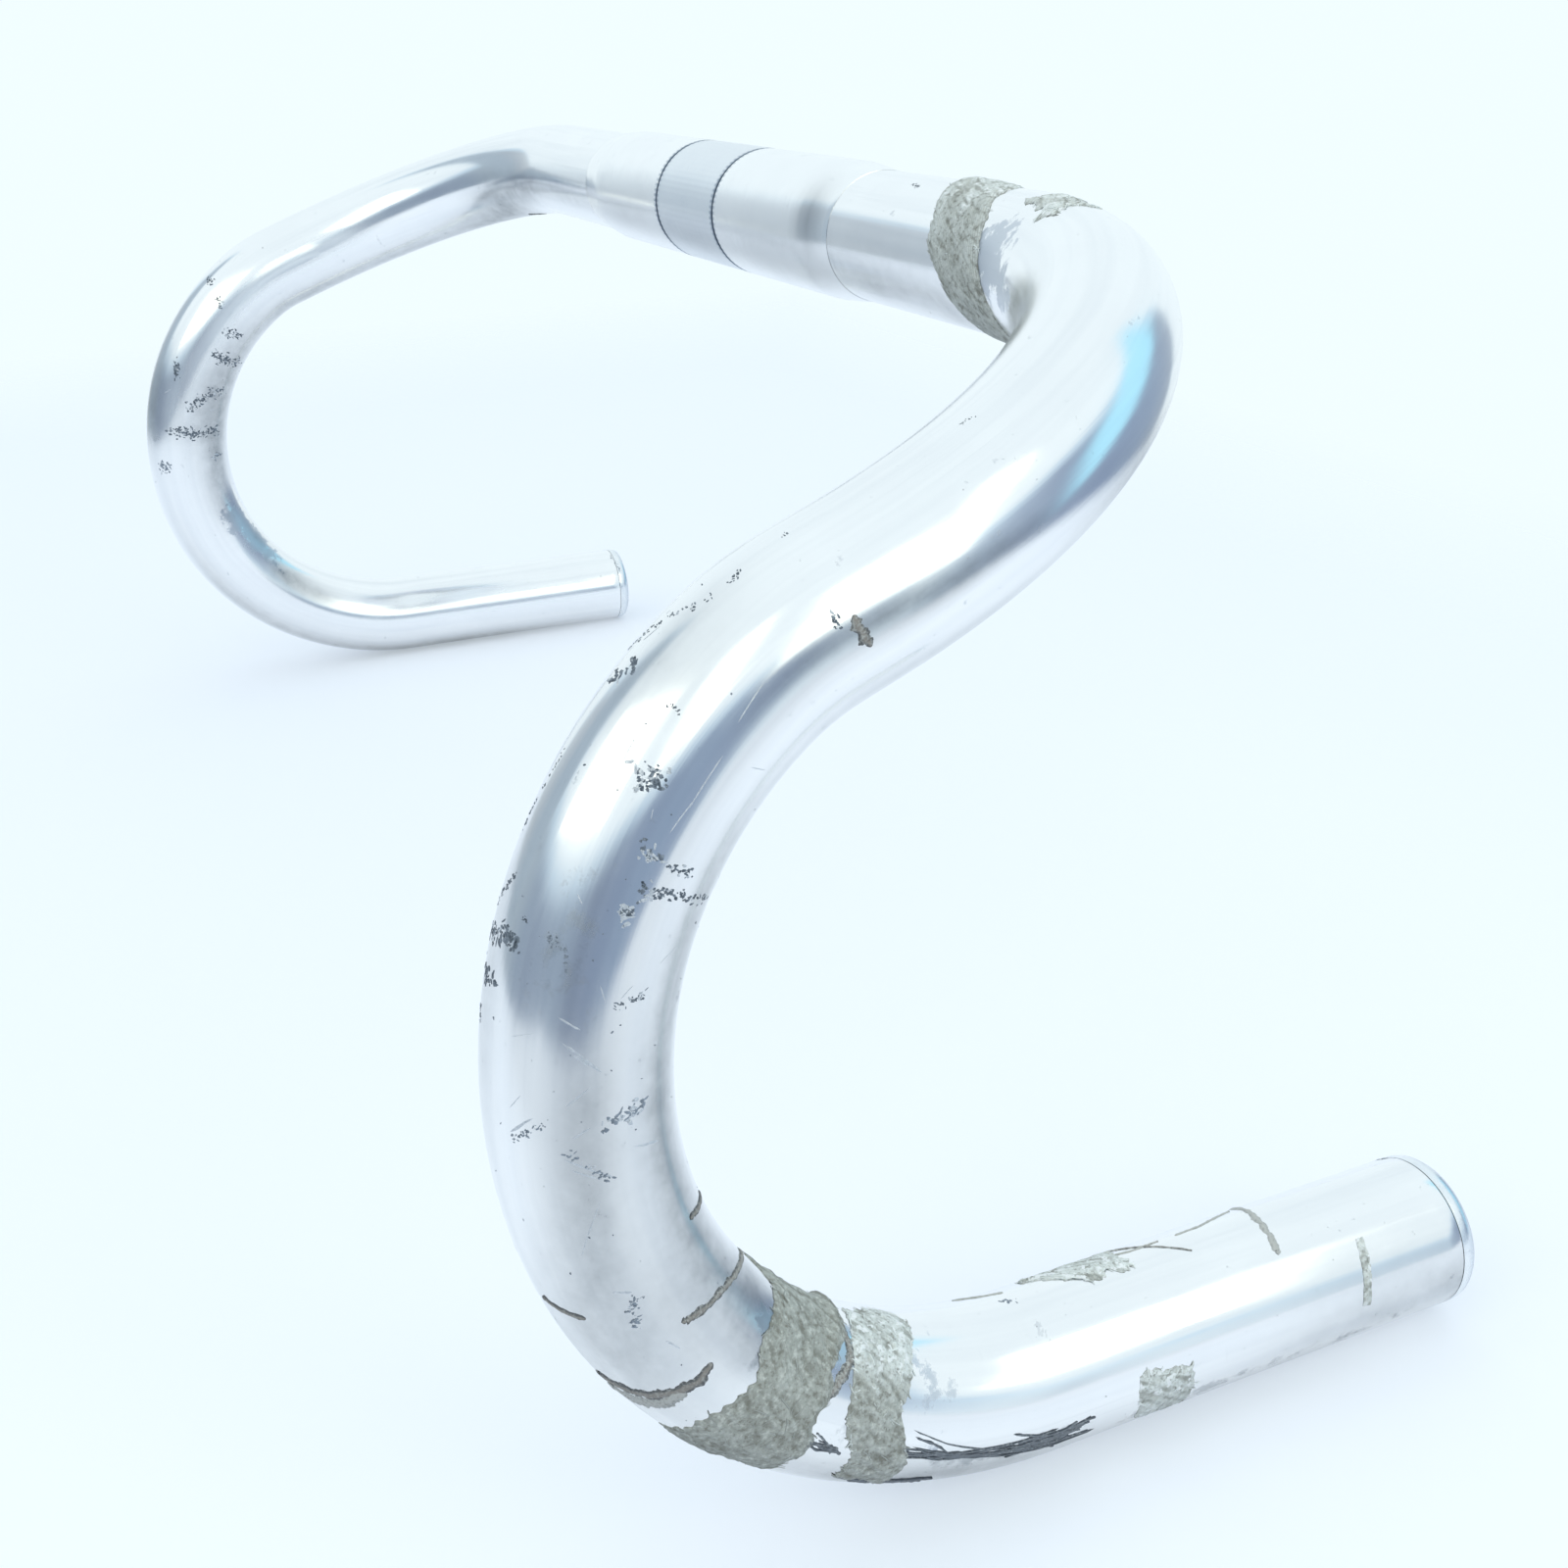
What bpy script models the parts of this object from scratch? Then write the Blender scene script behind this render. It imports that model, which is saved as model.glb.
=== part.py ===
# Drop handlebar: one bent aluminium tube, a knurled clamp sleeve on its middle, a push-in plug in
# each end, and the torn scraps of old cloth tape that still cling to the rider's left half.
# Metres. The origin is the middle of the clamp sleeve, +X is the rider's left, -Y is forward and
# +Z is up. The bar stands on its two drops, as it would on a bench.

from bisect import bisect_right
from math import ceil, cos, pi, radians, sin

import bmesh
import bpy
from mathutils import Matrix, Vector

MM = 0.001
GAP = 0.3 * MM                      # clearance that every piece keeps to its neighbour

# Tube
TUBE_RADIUS = 11.9 * MM             # 23.8 mm outside, the size that brake lever clamps close on
TUBE_WALL = 1.9 * MM
TUBE_SIDES = 24
BORE_RADIUS = TUBE_RADIUS - TUBE_WALL

# Bends of one half, from the middle outward
TOP_HALF = 127.0 * MM               # straight top, up to where the corner starts
CORNER_RADIUS = 75.0 * MM
RAMP_SLOPE = radians(21.0)          # fall of the ramp in front of the corner
RAMP_FLARE = radians(3.3)           # the ramp opens outward
RAMP_LENGTH = 6.0 * MM
HOOK_TILT = radians(4.4)            # lean of the hook's plane about the ramp
HOOK_ARCS = (                       # compound hook: radius and turn of each bend
    (42.0 * MM, radians(16.0)),
    (64.0 * MM, radians(68.5)),
    (57.5 * MM, radians(40.5)),
)
HOOK_EXIT_RADIUS = 66.0 * MM        # last bend, which turns until the drop lies level
DROP_LENGTH = 75.0 * MM             # straight drop with the plug's head
BEND_STEP = radians(7.5)            # turn between two rings of the tube

# Clamp sleeve
SLEEVE_RADIUS = 13.0 * MM           # 26.0 mm stem clamp
SLEEVE_HALF = 74.5 * MM
SLEEVE_TAPER = 12.0 * MM            # cone at each end
SLEEVE_LIP = 0.3 * MM               # wall left at the thin end of the cone
SLEEVE_SIDES = 64
BAND_HALF = 17.2 * MM               # knurled band, where the stem grips
GROOVE_WIDTH = 1.1 * MM             # ring groove beside the band
GROOVE_DEPTH = 0.4 * MM
KNURL_DEPTH = 0.2 * MM              # straight knurl, one ridge to each side of the sleeve

# End plugs
PLUG_HEAD = 3.0 * MM
PLUG_FACE = 9.4 * MM                # radius of the head's flat face
PLUG_BARREL = 9.0 * MM
PLUG_RIB = 9.55 * MM                # ribs that grip the bore
PLUG_RIB_PITCH = 4.5 * MM
PLUG_RIB_COUNT = 3
PLUG_RIB_START = 2.7 * MM           # plain barrel between the head and the first rib
PLUG_RIB_BACK = 0.5 * MM            # steep back, flat crest and long lead-in of each rib
PLUG_RIB_CREST = 1.1 * MM
PLUG_RIB_LEAD = 1.1 * MM
PLUG_DEPTH = 17.0 * MM
PLUG_CHAMFER = 1.0 * MM
PLUG_CUP = 7.2 * MM                 # radius of the hollow in the barrel
PLUG_CUP_FLOOR = 1.5 * MM
PLUG_SIDES = 24
PLUG_ROUND_STEPS = 4

# Cloth tape
TAPE_THICKNESS = 0.6 * MM
TAPE_ROW = 2.6 * MM                 # grid step along the bar
TAPE_TURN = radians(9.0)            # grid step around the bar

# Each scrap: start along the bar and width (mm), start around the bar and turn (degrees), how far
# it winds along the bar over that turn (mm), raggedness of its edges (mm) and their seed. The angle
# is counted from the upper side of the tops, through the front, and is carried round the bends
# without twist: on the drops 29 is straight down, 209 is straight up and 299 faces outward.
SCRAPS = {
    "tape_band_corner": (100.0, 18.0, -35.0, 215.0, 31.0, 1.3, 0.4),
    "tape_scrap_corner": (134.0, 11.0, -14.0, 38.0, 2.0, 1.6, 1.7),
    "tape_band_hook": (362.0, 14.0, 194.0, 142.0, -2.0, 1.2, 2.9),
    "tape_scrap_hook_under": (357.5, 8.0, 342.0, 48.0, 2.0, 1.2, 3.6),
    "tape_band_drop": (379.5, 10.5, 204.0, 122.0, 1.0, 1.0, 4.4),
    "tape_scrap_drop_front": (426.0, 9.5, 290.0, 38.0, 1.5, 0.8, 5.2),
    "tape_scrap_drop_top": (407.0, 20.0, 176.0, 30.0, 2.0, 1.6, 6.1),
    "tape_strip_drop": (467.8, 2.2, 248.0, 48.0, -1.5, 0.3, 7.3),
}

# Surface colours: red, green, blue, roughness, metallic
FINISHES = {
    "polished_aluminium": (0.86, 0.89, 0.91, 0.16, 1.0),
    "sleeve_aluminium": (0.80, 0.84, 0.88, 0.26, 1.0),
    "plug_silver": (0.78, 0.82, 0.86, 0.22, 1.0),
    "cloth_tape": (0.36, 0.38, 0.35, 0.9, 0.0),
}


def clear_scene():
    for old in list(bpy.data.objects):
        bpy.data.objects.remove(old, do_unlink=True)


def make_finish(name):
    red, green, blue, roughness, metallic = FINISHES[name]
    finish = bpy.data.materials.new(name)
    finish.use_nodes = True
    shader = finish.node_tree.nodes["Principled BSDF"]
    shader.inputs["Base Color"].default_value = (red, green, blue, 1.0)
    shader.inputs["Roughness"].default_value = roughness
    shader.inputs["Metallic"].default_value = metallic
    finish.diffuse_color = (red, green, blue, 1.0)
    return finish


def finish_mesh(bm, name):
    bmesh.ops.recalc_face_normals(bm, faces=bm.faces)
    mesh = bpy.data.meshes.new(name)
    bm.to_mesh(mesh)
    bm.free()
    mesh.shade_smooth()
    mesh.set_sharp_from_angle(angle=radians(35.0))
    return mesh


def add_piece(name, mesh, finish, parent):
    piece = bpy.data.objects.new(name, mesh)
    bpy.context.collection.objects.link(piece)
    piece.parent = parent
    if not mesh.materials:
        mesh.materials.append(finish)
    return piece


# The bar's centre line: stations of distance from the middle, point, direction and normal

def run_straight(stations, length):
    distance, point, direction, normal = stations[-1]
    stations.append((distance + length, point + direction * length, direction, normal))


def run_bend(stations, radius, angle, axis):
    distance, point, direction, normal = stations[-1]
    centre = point + axis.cross(direction) * radius
    count = max(2, ceil(angle / BEND_STEP))
    for k in range(1, count + 1):
        turned = angle * k / count
        spin = Matrix.Rotation(turned, 3, axis)
        place = centre + spin @ (point - centre)
        stations.append((distance + radius * turned, place, spin @ direction, spin @ normal))


def half_bar():
    stations = [(0.0, Vector((0, 0, 0)), Vector((1, 0, 0)), Vector((0, 0, 1)))]
    run_straight(stations, TOP_HALF)
    level = Vector((sin(RAMP_FLARE), -cos(RAMP_FLARE), 0))
    ramp = level * cos(RAMP_SLOPE) + Vector((0, 0, -sin(RAMP_SLOPE)))
    top = stations[-1][2]
    run_bend(stations, CORNER_RADIUS, top.angle(ramp), top.cross(ramp).normalized())
    run_straight(stations, RAMP_LENGTH)
    across = level.cross(Vector((0, 0, -1)))
    across = Matrix.Rotation(HOOK_TILT, 3, ramp) @ across
    turn_left = pi - RAMP_SLOPE
    for radius, angle in HOOK_ARCS:
        run_bend(stations, radius, angle, across)
        turn_left -= angle
    run_bend(stations, HOOK_EXIT_RADIUS, turn_left, across)
    run_straight(stations, DROP_LENGTH - PLUG_HEAD - GAP)
    return stations


def mirrored(vector):
    return Vector((-vector.x, vector.y, vector.z))


def whole_bar(half):
    right = []
    for distance, point, direction, normal in reversed(half[1:]):
        right.append((-distance, mirrored(point), -mirrored(direction), mirrored(normal)))
    return right + half


def station_at(stations, distance):
    after = bisect_right([station[0] for station in stations], distance)
    after = min(max(after, 1), len(stations) - 1)
    start, end = stations[after - 1], stations[after]
    part = (distance - start[0]) / (end[0] - start[0])
    point = start[1].lerp(end[1], part)
    direction = start[2].lerp(end[2], part).normalized()
    normal = start[3].lerp(end[3], part)
    normal = (normal - direction * normal.dot(direction)).normalized()
    return distance, point, direction, normal


def on_bar(station, radius, angle):
    distance, point, direction, normal = station
    side = direction.cross(normal)
    return point + (normal * cos(angle) + side * sin(angle)) * radius


# Shared mesh builders

def join_rings(bm, first, second):
    count = len(first)
    for k in range(count):
        after = (k + 1) % count
        bm.faces.new((first[k], first[after], second[after], second[k]))


def bar_ring(bm, station, radius):
    turns = [2 * pi * k / TUBE_SIDES for k in range(TUBE_SIDES)]
    return [bm.verts.new(on_bar(station, radius, turn)) for turn in turns]


def axis_ring(bm, axis, along, radii):
    count = len(radii)
    ring = []
    for k, radius in enumerate(radii):
        turn = 2 * pi * k / count
        across = (radius * cos(turn), radius * sin(turn))
        place = (along, *across) if axis == "X" else (*across, along)
        ring.append(bm.verts.new(place))
    return ring


def zip_rings(bm, coarse, fine):
    count = len(coarse)
    for k in range(count):
        after = (k + 1) % count
        left, middle, right = fine[2 * k], fine[2 * k + 1], fine[2 * after]
        bm.faces.new((coarse[k], middle, left))
        bm.faces.new((coarse[k], coarse[after], middle))
        bm.faces.new((coarse[after], right, middle))


# The pieces

def bar_tube(stations):
    bm = bmesh.new()
    outer = [bar_ring(bm, station, TUBE_RADIUS) for station in stations]
    middle = stations[1:-1:2]
    inner = [bar_ring(bm, s, BORE_RADIUS) for s in (stations[0], *middle, stations[-1])]
    for wall in (outer, inner):
        for first, second in zip(wall, wall[1:]):
            join_rings(bm, first, second)
    for end in (0, -1):
        join_rings(bm, outer[end], inner[end])
    return finish_mesh(bm, "bar_tube")


def clamp_sleeve():
    bm = bmesh.new()
    bore = TUBE_RADIUS + GAP
    groove = SLEEVE_RADIUS - GROOVE_DEPTH
    plain = {
        "lip": (SLEEVE_HALF, bore + SLEEVE_LIP),
        "cone": (SLEEVE_HALF - SLEEVE_TAPER, SLEEVE_RADIUS),
        "edge": (BAND_HALF + GROOVE_WIDTH, SLEEVE_RADIUS),
        "floor": (BAND_HALF + GROOVE_WIDTH, groove),
    }
    ridge = [SLEEVE_RADIUS, SLEEVE_RADIUS - KNURL_DEPTH] * SLEEVE_SIDES
    foot = [groove] * (2 * SLEEVE_SIDES)
    bands = []
    bores = []
    for side in (-1, 1):
        rings = [axis_ring(bm, "X", side * x, [r] * SLEEVE_SIDES) for x, r in plain.values()]
        for first, second in zip(rings, rings[1:]):
            join_rings(bm, first, second)
        base = axis_ring(bm, "X", side * BAND_HALF, foot)
        band = axis_ring(bm, "X", side * BAND_HALF, ridge)
        zip_rings(bm, rings[-1], base)
        join_rings(bm, base, band)
        mouth = axis_ring(bm, "X", side * SLEEVE_HALF, [bore] * SLEEVE_SIDES)
        join_rings(bm, rings[0], mouth)
        bands.append(band)
        bores.append(mouth)
    join_rings(bm, *bands)
    join_rings(bm, *bores)
    return finish_mesh(bm, "clamp_sleeve")


def plug_profile():
    profile = []
    lip = TUBE_RADIUS - PLUG_FACE
    for k in range(PLUG_ROUND_STEPS + 1):
        turn = 0.5 * pi * k / PLUG_ROUND_STEPS
        profile.append((PLUG_FACE + lip * sin(turn), PLUG_HEAD - lip * (1 - cos(turn))))
    profile.append((TUBE_RADIUS, 0.0))
    profile.append((PLUG_BARREL, 0.0))
    for k in range(PLUG_RIB_COUNT):
        back = -PLUG_RIB_START - PLUG_RIB_PITCH * k
        crest = back - PLUG_RIB_BACK
        lead = crest - PLUG_RIB_CREST
        profile.append((PLUG_BARREL, back))
        profile.append((PLUG_RIB, crest))
        profile.append((PLUG_RIB, lead))
        profile.append((PLUG_BARREL, lead - PLUG_RIB_LEAD))
    profile.append((PLUG_BARREL, -PLUG_DEPTH + PLUG_CHAMFER))
    profile.append((PLUG_BARREL - PLUG_CHAMFER, -PLUG_DEPTH))
    profile.append((PLUG_CUP, -PLUG_DEPTH))
    profile.append((PLUG_CUP, -PLUG_CUP_FLOOR))
    return profile


def end_plug():
    bm = bmesh.new()
    rings = [axis_ring(bm, "Z", z, [radius] * PLUG_SIDES) for radius, z in plug_profile()]
    for first, second in zip(rings, rings[1:]):
        join_rings(bm, first, second)
    bm.faces.new(rings[0])
    bm.faces.new(rings[-1])
    return finish_mesh(bm, "end_plug")


def plug_place(station, outward):
    distance, point, direction, normal = station
    direction = direction * outward
    side = direction.cross(normal)
    turn = Matrix((normal, side, direction)).transposed().to_4x4()
    return Matrix.Translation(point + direction * GAP) @ turn


def torn(position, seed):
    return 0.6 * sin(1.9 * position + 5.0 * seed) + 0.4 * sin(4.3 * position + 11.0 * seed)


def tape_scrap(name, stations):
    start, width, first_turn, turn, wind, ragged, seed = SCRAPS[name]
    rows = max(2, ceil(width * MM / TAPE_ROW))
    columns = max(3, ceil(radians(turn) / TAPE_TURN))
    under = TUBE_RADIUS + GAP
    bm = bmesh.new()
    layers = []
    for radius in (under, under + TAPE_THICKNESS):
        grid = []
        for row in range(rows + 1):
            along = row / rows
            line = []
            for column in range(columns + 1):
                around = column / columns
                edge = torn(columns * around, seed + 3 * round(along)) * abs(2 * along - 1)
                fray = torn(rows * along, seed + 1.7 * round(around)) * abs(2 * around - 1)
                distance = start + width * along + wind * around + ragged * edge
                angle = first_turn + turn * around
                angle += ragged * MM / TUBE_RADIUS * 180 / pi * fray
                station = station_at(stations, distance * MM)
                line.append(bm.verts.new(on_bar(station, radius, radians(angle))))
            grid.append(line)
        layers.append(grid)
    for grid in layers:
        for low, high in zip(grid, grid[1:]):
            for k in range(columns):
                bm.faces.new((low[k], low[k + 1], high[k + 1], high[k]))
    inner, outer = [scrap_rim(grid) for grid in layers]
    join_rings(bm, inner, outer)
    return finish_mesh(bm, name)


def scrap_rim(grid):
    rim = list(grid[0])
    rim += [line[-1] for line in grid[1:]]
    rim += list(reversed(grid[-1][:-1]))
    rim += [line[0] for line in reversed(grid[1:-1])]
    return rim


def build():
    clear_scene()
    finishes = {name: make_finish(name) for name in FINISHES}
    bar = bpy.data.objects.new("drop_handlebar", None)
    bpy.context.collection.objects.link(bar)
    half = half_bar()
    stations = whole_bar(half)
    add_piece("bar_tube", bar_tube(stations), finishes["polished_aluminium"], bar)
    add_piece("clamp_sleeve", clamp_sleeve(), finishes["sleeve_aluminium"], bar)
    plug = end_plug()
    for name, station, outward in (
        ("end_plug_left", stations[-1], 1),
        ("end_plug_right", stations[0], -1),
    ):
        piece = add_piece(name, plug, finishes["plug_silver"], bar)
        piece.matrix_local = plug_place(station, outward)
    for name in SCRAPS:
        add_piece(name, tape_scrap(name, half), finishes["cloth_tape"], bar)


build()
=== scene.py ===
from math import atan2, ceil, cos, exp, hypot, pi, radians, sin

import bmesh
import bpy
import numpy as np
from mathutils import Matrix, Vector, noise
from mathutils.kdtree import KDTree


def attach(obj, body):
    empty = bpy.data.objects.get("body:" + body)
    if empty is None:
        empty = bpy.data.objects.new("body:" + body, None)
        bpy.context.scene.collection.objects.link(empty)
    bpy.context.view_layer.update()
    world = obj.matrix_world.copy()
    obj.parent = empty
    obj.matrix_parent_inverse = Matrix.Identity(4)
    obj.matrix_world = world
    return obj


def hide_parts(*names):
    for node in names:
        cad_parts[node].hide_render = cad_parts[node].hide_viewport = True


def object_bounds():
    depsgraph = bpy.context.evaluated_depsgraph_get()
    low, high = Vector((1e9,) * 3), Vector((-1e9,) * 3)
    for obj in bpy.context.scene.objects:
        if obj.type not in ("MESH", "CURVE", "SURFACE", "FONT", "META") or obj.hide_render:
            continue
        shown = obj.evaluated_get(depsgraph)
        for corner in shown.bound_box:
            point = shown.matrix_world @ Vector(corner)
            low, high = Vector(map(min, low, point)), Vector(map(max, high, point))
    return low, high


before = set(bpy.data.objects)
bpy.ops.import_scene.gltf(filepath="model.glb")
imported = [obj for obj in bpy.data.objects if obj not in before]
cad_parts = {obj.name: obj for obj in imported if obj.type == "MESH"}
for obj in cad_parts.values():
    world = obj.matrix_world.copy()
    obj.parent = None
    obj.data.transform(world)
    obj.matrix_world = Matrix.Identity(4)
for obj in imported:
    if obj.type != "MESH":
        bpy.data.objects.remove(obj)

cadLow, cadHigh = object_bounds()
mm = 0.001


# small helpers

def deselect():
    if bpy.context.object and bpy.context.object.mode != "OBJECT":
        bpy.ops.object.mode_set(mode="OBJECT")
    bpy.ops.object.select_all(action="DESELECT")


def started(name):
    piece = bpy.context.object
    piece.name = name
    piece.data.name = name
    bpy.ops.object.transform_apply(location=True, rotation=True, scale=True)
    return piece


def focus(piece):
    deselect()
    piece.select_set(True)
    bpy.context.view_layer.objects.active = piece


def applyAll(piece):
    focus(piece)
    for modifier in list(piece.modifiers):
        bpy.ops.object.modifier_apply(modifier=modifier.name)


def outward(piece):
    focus(piece)
    bpy.ops.object.mode_set(mode="EDIT")
    bpy.ops.mesh.select_all(action="SELECT")
    bpy.ops.mesh.remove_doubles(threshold=0.000002)
    bpy.ops.mesh.normals_make_consistent(inside=False)
    bpy.ops.object.mode_set(mode="OBJECT")


def smoothAt(piece, degrees):
    focus(piece)
    bpy.ops.object.shade_smooth_by_angle(angle=radians(degrees))


# a value for every vertex, which a finish reads by its name
def marked(piece, name, kind, values):
    field = "color" if kind == "FLOAT_COLOR" else "vector"
    piece.data.attributes.new(name, kind, "POINT").data.foreach_set(field, values)


def settle(piece, slot, *nodes):
    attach(piece, "root")
    if nodes:
        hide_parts(*nodes)
    print("made", piece.name, len(piece.data.polygons), "faces")


# the bar's bends, one half from the middle outward; metres and degrees
barSet = {
    "radius": 0.0119,
    "wall": 0.0019,
    "topHalf": 0.127,
    "cornerRadius": 0.075,
    "rampSlope": 21.0,
    "rampFlare": 3.3,
    "rampLength": 0.006,
    "hookTilt": 4.4,
    "hookArcs": [(0.042, 16.0), (0.064, 68.5), (0.0575, 40.5)],
    "exitRadius": 0.066,
    "dropLength": 0.075,
    "plugHead": 0.003,
    "seam": 0.0003,     # joint between the tube's end and the plug's head
    "sides": 96,
    "ringStep": 0.0025,
    "endBevel": 0.00015,
}


def walkBar():
    moves = []
    here = {"start": 0.0, "point": Vector(), "direction": Vector((1, 0, 0)), "normal": Vector((0, 0, 1))}

    def straight(length):
        moves.append({**here, "length": length, "axis": None})
        here["point"] = here["point"] + here["direction"] * length
        here["start"] += length

    def bend(radius, angle, axis):
        centre = here["point"] + axis.cross(here["direction"]) * radius
        moves.append({**here, "length": radius * angle, "axis": axis, "radius": radius,
                      "angle": angle, "centre": centre})
        turn = Matrix.Rotation(angle, 3, axis)
        here["point"] = centre + turn @ (here["point"] - centre)
        here["direction"] = turn @ here["direction"]
        here["normal"] = turn @ here["normal"]
        here["start"] += radius * angle

    straight(barSet["topHalf"])
    flare, slope = radians(barSet["rampFlare"]), radians(barSet["rampSlope"])
    level = Vector((sin(flare), -cos(flare), 0))
    ramp = level * cos(slope) + Vector((0, 0, -sin(slope)))
    top = here["direction"]
    bend(barSet["cornerRadius"], top.angle(ramp), top.cross(ramp).normalized())
    straight(barSet["rampLength"])
    across = Matrix.Rotation(radians(barSet["hookTilt"]), 3, ramp) @ level.cross(Vector((0, 0, -1)))
    left = pi - slope
    for radius, degrees in barSet["hookArcs"]:
        bend(radius, radians(degrees), across)
        left -= radians(degrees)
    bend(barSet["exitRadius"], left, across)
    straight(barSet["dropLength"])
    return moves


barMoves = walkBar()
barLength = barMoves[-1]["start"] + barMoves[-1]["length"]
tubeLength = barLength - barSet["plugHead"] - barSet["seam"]


def barAt(distance):
    move = barMoves[-1]
    for candidate in barMoves:
        if distance <= candidate["start"] + candidate["length"]:
            move = candidate
            break
    along = distance - move["start"]
    if move["axis"] is None:
        return move["point"] + move["direction"] * along, move["direction"], move["normal"]
    turn = Matrix.Rotation(along / move["radius"], 3, move["axis"])
    place = move["centre"] + turn @ (move["point"] - move["centre"])
    return place, turn @ move["direction"], turn @ move["normal"]


# a place on the bar: metres from the middle (minus is the rider's right), degrees round it, metres
# above its surface
def onBar(distance, degrees, height):
    point, direction, normal = barAt(abs(distance))
    side = direction.cross(normal)
    angle = radians(degrees)
    place = point + (normal * cos(angle) + side * sin(angle)) * (barSet["radius"] + height)
    return place if distance >= 0 else Vector((-place.x, place.y, place.z))


# camera, at the photograph's viewing angle

cameraSet = {
    "place": (0.40107, -0.15661, 0.04102),
    "aim": (0.05886, -0.01835, -0.11317),
    "roll": -2.3,
    "lens": 42.9,
    "sensor": 36.0,
}


def makeCamera():
    deselect()
    place, aim = Vector(cameraSet["place"]), Vector(cameraSet["aim"])
    bpy.ops.object.camera_add(location=place)
    camera = bpy.context.object
    camera.name = "photoCamera"
    facing = (aim - place).to_track_quat("-Z", "Y").to_matrix()
    facing = facing @ Matrix.Rotation(radians(cameraSet["roll"]), 3, "Z")
    camera.rotation_euler = facing.to_euler()
    camera.data.lens = cameraSet["lens"]
    camera.data.sensor_width = cameraSet["sensor"]
    camera.data.clip_start = 0.01
    bpy.context.scene.camera = camera
    print("camera set")


makeCamera()


# bar tube

def makeTube():
    deselect()
    bpy.ops.mesh.primitive_circle_add(vertices=barSet["sides"], radius=barSet["radius"],
                                      rotation=(0, pi / 2, 0))
    tube = started("barTube")
    bpy.ops.object.mode_set(mode="EDIT")
    bpy.ops.mesh.select_all(action="SELECT")
    for move in barMoves:
        length = min(move["length"], tubeLength - move["start"])
        steps = max(2, ceil(length / barSet["ringStep"]))
        if move["axis"] is None:
            for step in range(steps):
                shift = move["direction"] * (length / steps)
                bpy.ops.mesh.extrude_region_move(TRANSFORM_OT_translate={"value": shift})
        else:  # with no window a spin turns against its axis
            bpy.ops.mesh.spin(steps=steps, angle=move["angle"], center=move["centre"],
                              axis=-move["axis"])
    bpy.ops.object.mode_set(mode="OBJECT")
    mirror = tube.modifiers.new("otherHalf", "MIRROR")
    mirror.merge_threshold = 0.00001
    applyAll(tube)
    outward(tube)
    top = max(tube.data.polygons, key=lambda face: face.center.z)
    if top.normal.z < 0:
        tube.data.flip_normals()
    wall = tube.modifiers.new("wall", "SOLIDIFY")
    wall.thickness = barSet["wall"]
    wall.offset = -1
    wall.use_even_offset = True
    rim = tube.modifiers.new("rim", "BEVEL")
    rim.width = barSet["endBevel"]
    rim.segments = 2
    rim.limit_method = "ANGLE"
    rim.angle_limit = radians(60)
    applyAll(tube)
    smoothAt(tube, 40)
    return tube


barTube = makeTube()


# clamp sleeve

sleeveSet = {
    "sides": 256,
    "ridges": 64,
    "knurl": 0.00003,
    "bandHalf": 0.0172,
    "ringStep": 0.004,
    # distance from the middle and radius, from the band outward and back along the bore
    "outline": [(0.0170, 0.0130), (0.01718, 0.01288), (0.0172, 0.01250), (0.0181, 0.01250),
                (0.01812, 0.01288), (0.0183, 0.0130), (0.0400, 0.0130), (0.0620, 0.0130),
                (0.0634, 0.01296), (0.0700, 0.01240), (0.0730, 0.01214), (0.0742, 0.01203),
                (0.0745, 0.01196), (0.0745, 0.01191), (0.0, 0.01191)],
}


def makeSleeve():
    deselect()
    radius = sleeveSet["outline"][0][1]
    bpy.ops.mesh.primitive_circle_add(vertices=sleeveSet["sides"], radius=radius,
                                      rotation=(0, pi / 2, 0))
    sleeve = started("clampSleeve")
    bpy.ops.object.mode_set(mode="EDIT")
    bpy.ops.mesh.select_all(action="SELECT")
    place = 0.0
    for nextPlace, nextRadius in sleeveSet["outline"]:
        steps = ceil(abs(nextPlace - place) / sleeveSet["ringStep"]) or 1
        shift, widen = (nextPlace - place) / steps, (nextRadius - radius) / steps
        for step in range(steps):
            bpy.ops.mesh.extrude_region_move(TRANSFORM_OT_translate={"value": (shift, 0, 0)})
            grow = (radius + widen) / radius
            place, radius = place + shift, radius + widen
            bpy.ops.transform.resize(value=(1, grow, grow), center_override=(place, 0, 0))
    # knurl: the hollows between the ridges go in, on the band alone
    cut = bmesh.from_edit_mesh(sleeve.data)
    perRidge = sleeveSet["sides"] // sleeveSet["ridges"]
    crest = sleeveSet["outline"][0][1]
    for vert in cut.verts:
        turn = atan2(vert.co.z, vert.co.y) / (2 * pi) * sleeveSet["sides"]
        onBand = vert.co.x < sleeveSet["bandHalf"] and hypot(vert.co.y, vert.co.z) > crest - 0.0001
        vert.select_set(onBand and round(turn) % perRidge == 0)
    cut.select_flush_mode()
    hollow = (crest - sleeveSet["knurl"]) / crest
    bpy.ops.transform.resize(value=(1, hollow, hollow), center_override=(0, 0, 0))
    bpy.ops.object.mode_set(mode="OBJECT")
    mirror = sleeve.modifiers.new("otherHalf", "MIRROR")
    mirror.merge_threshold = 0.00001
    applyAll(sleeve)
    outward(sleeve)
    smoothAt(sleeve, 30)
    return sleeve


clampSleeve = makeSleeve()


# end plugs

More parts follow.
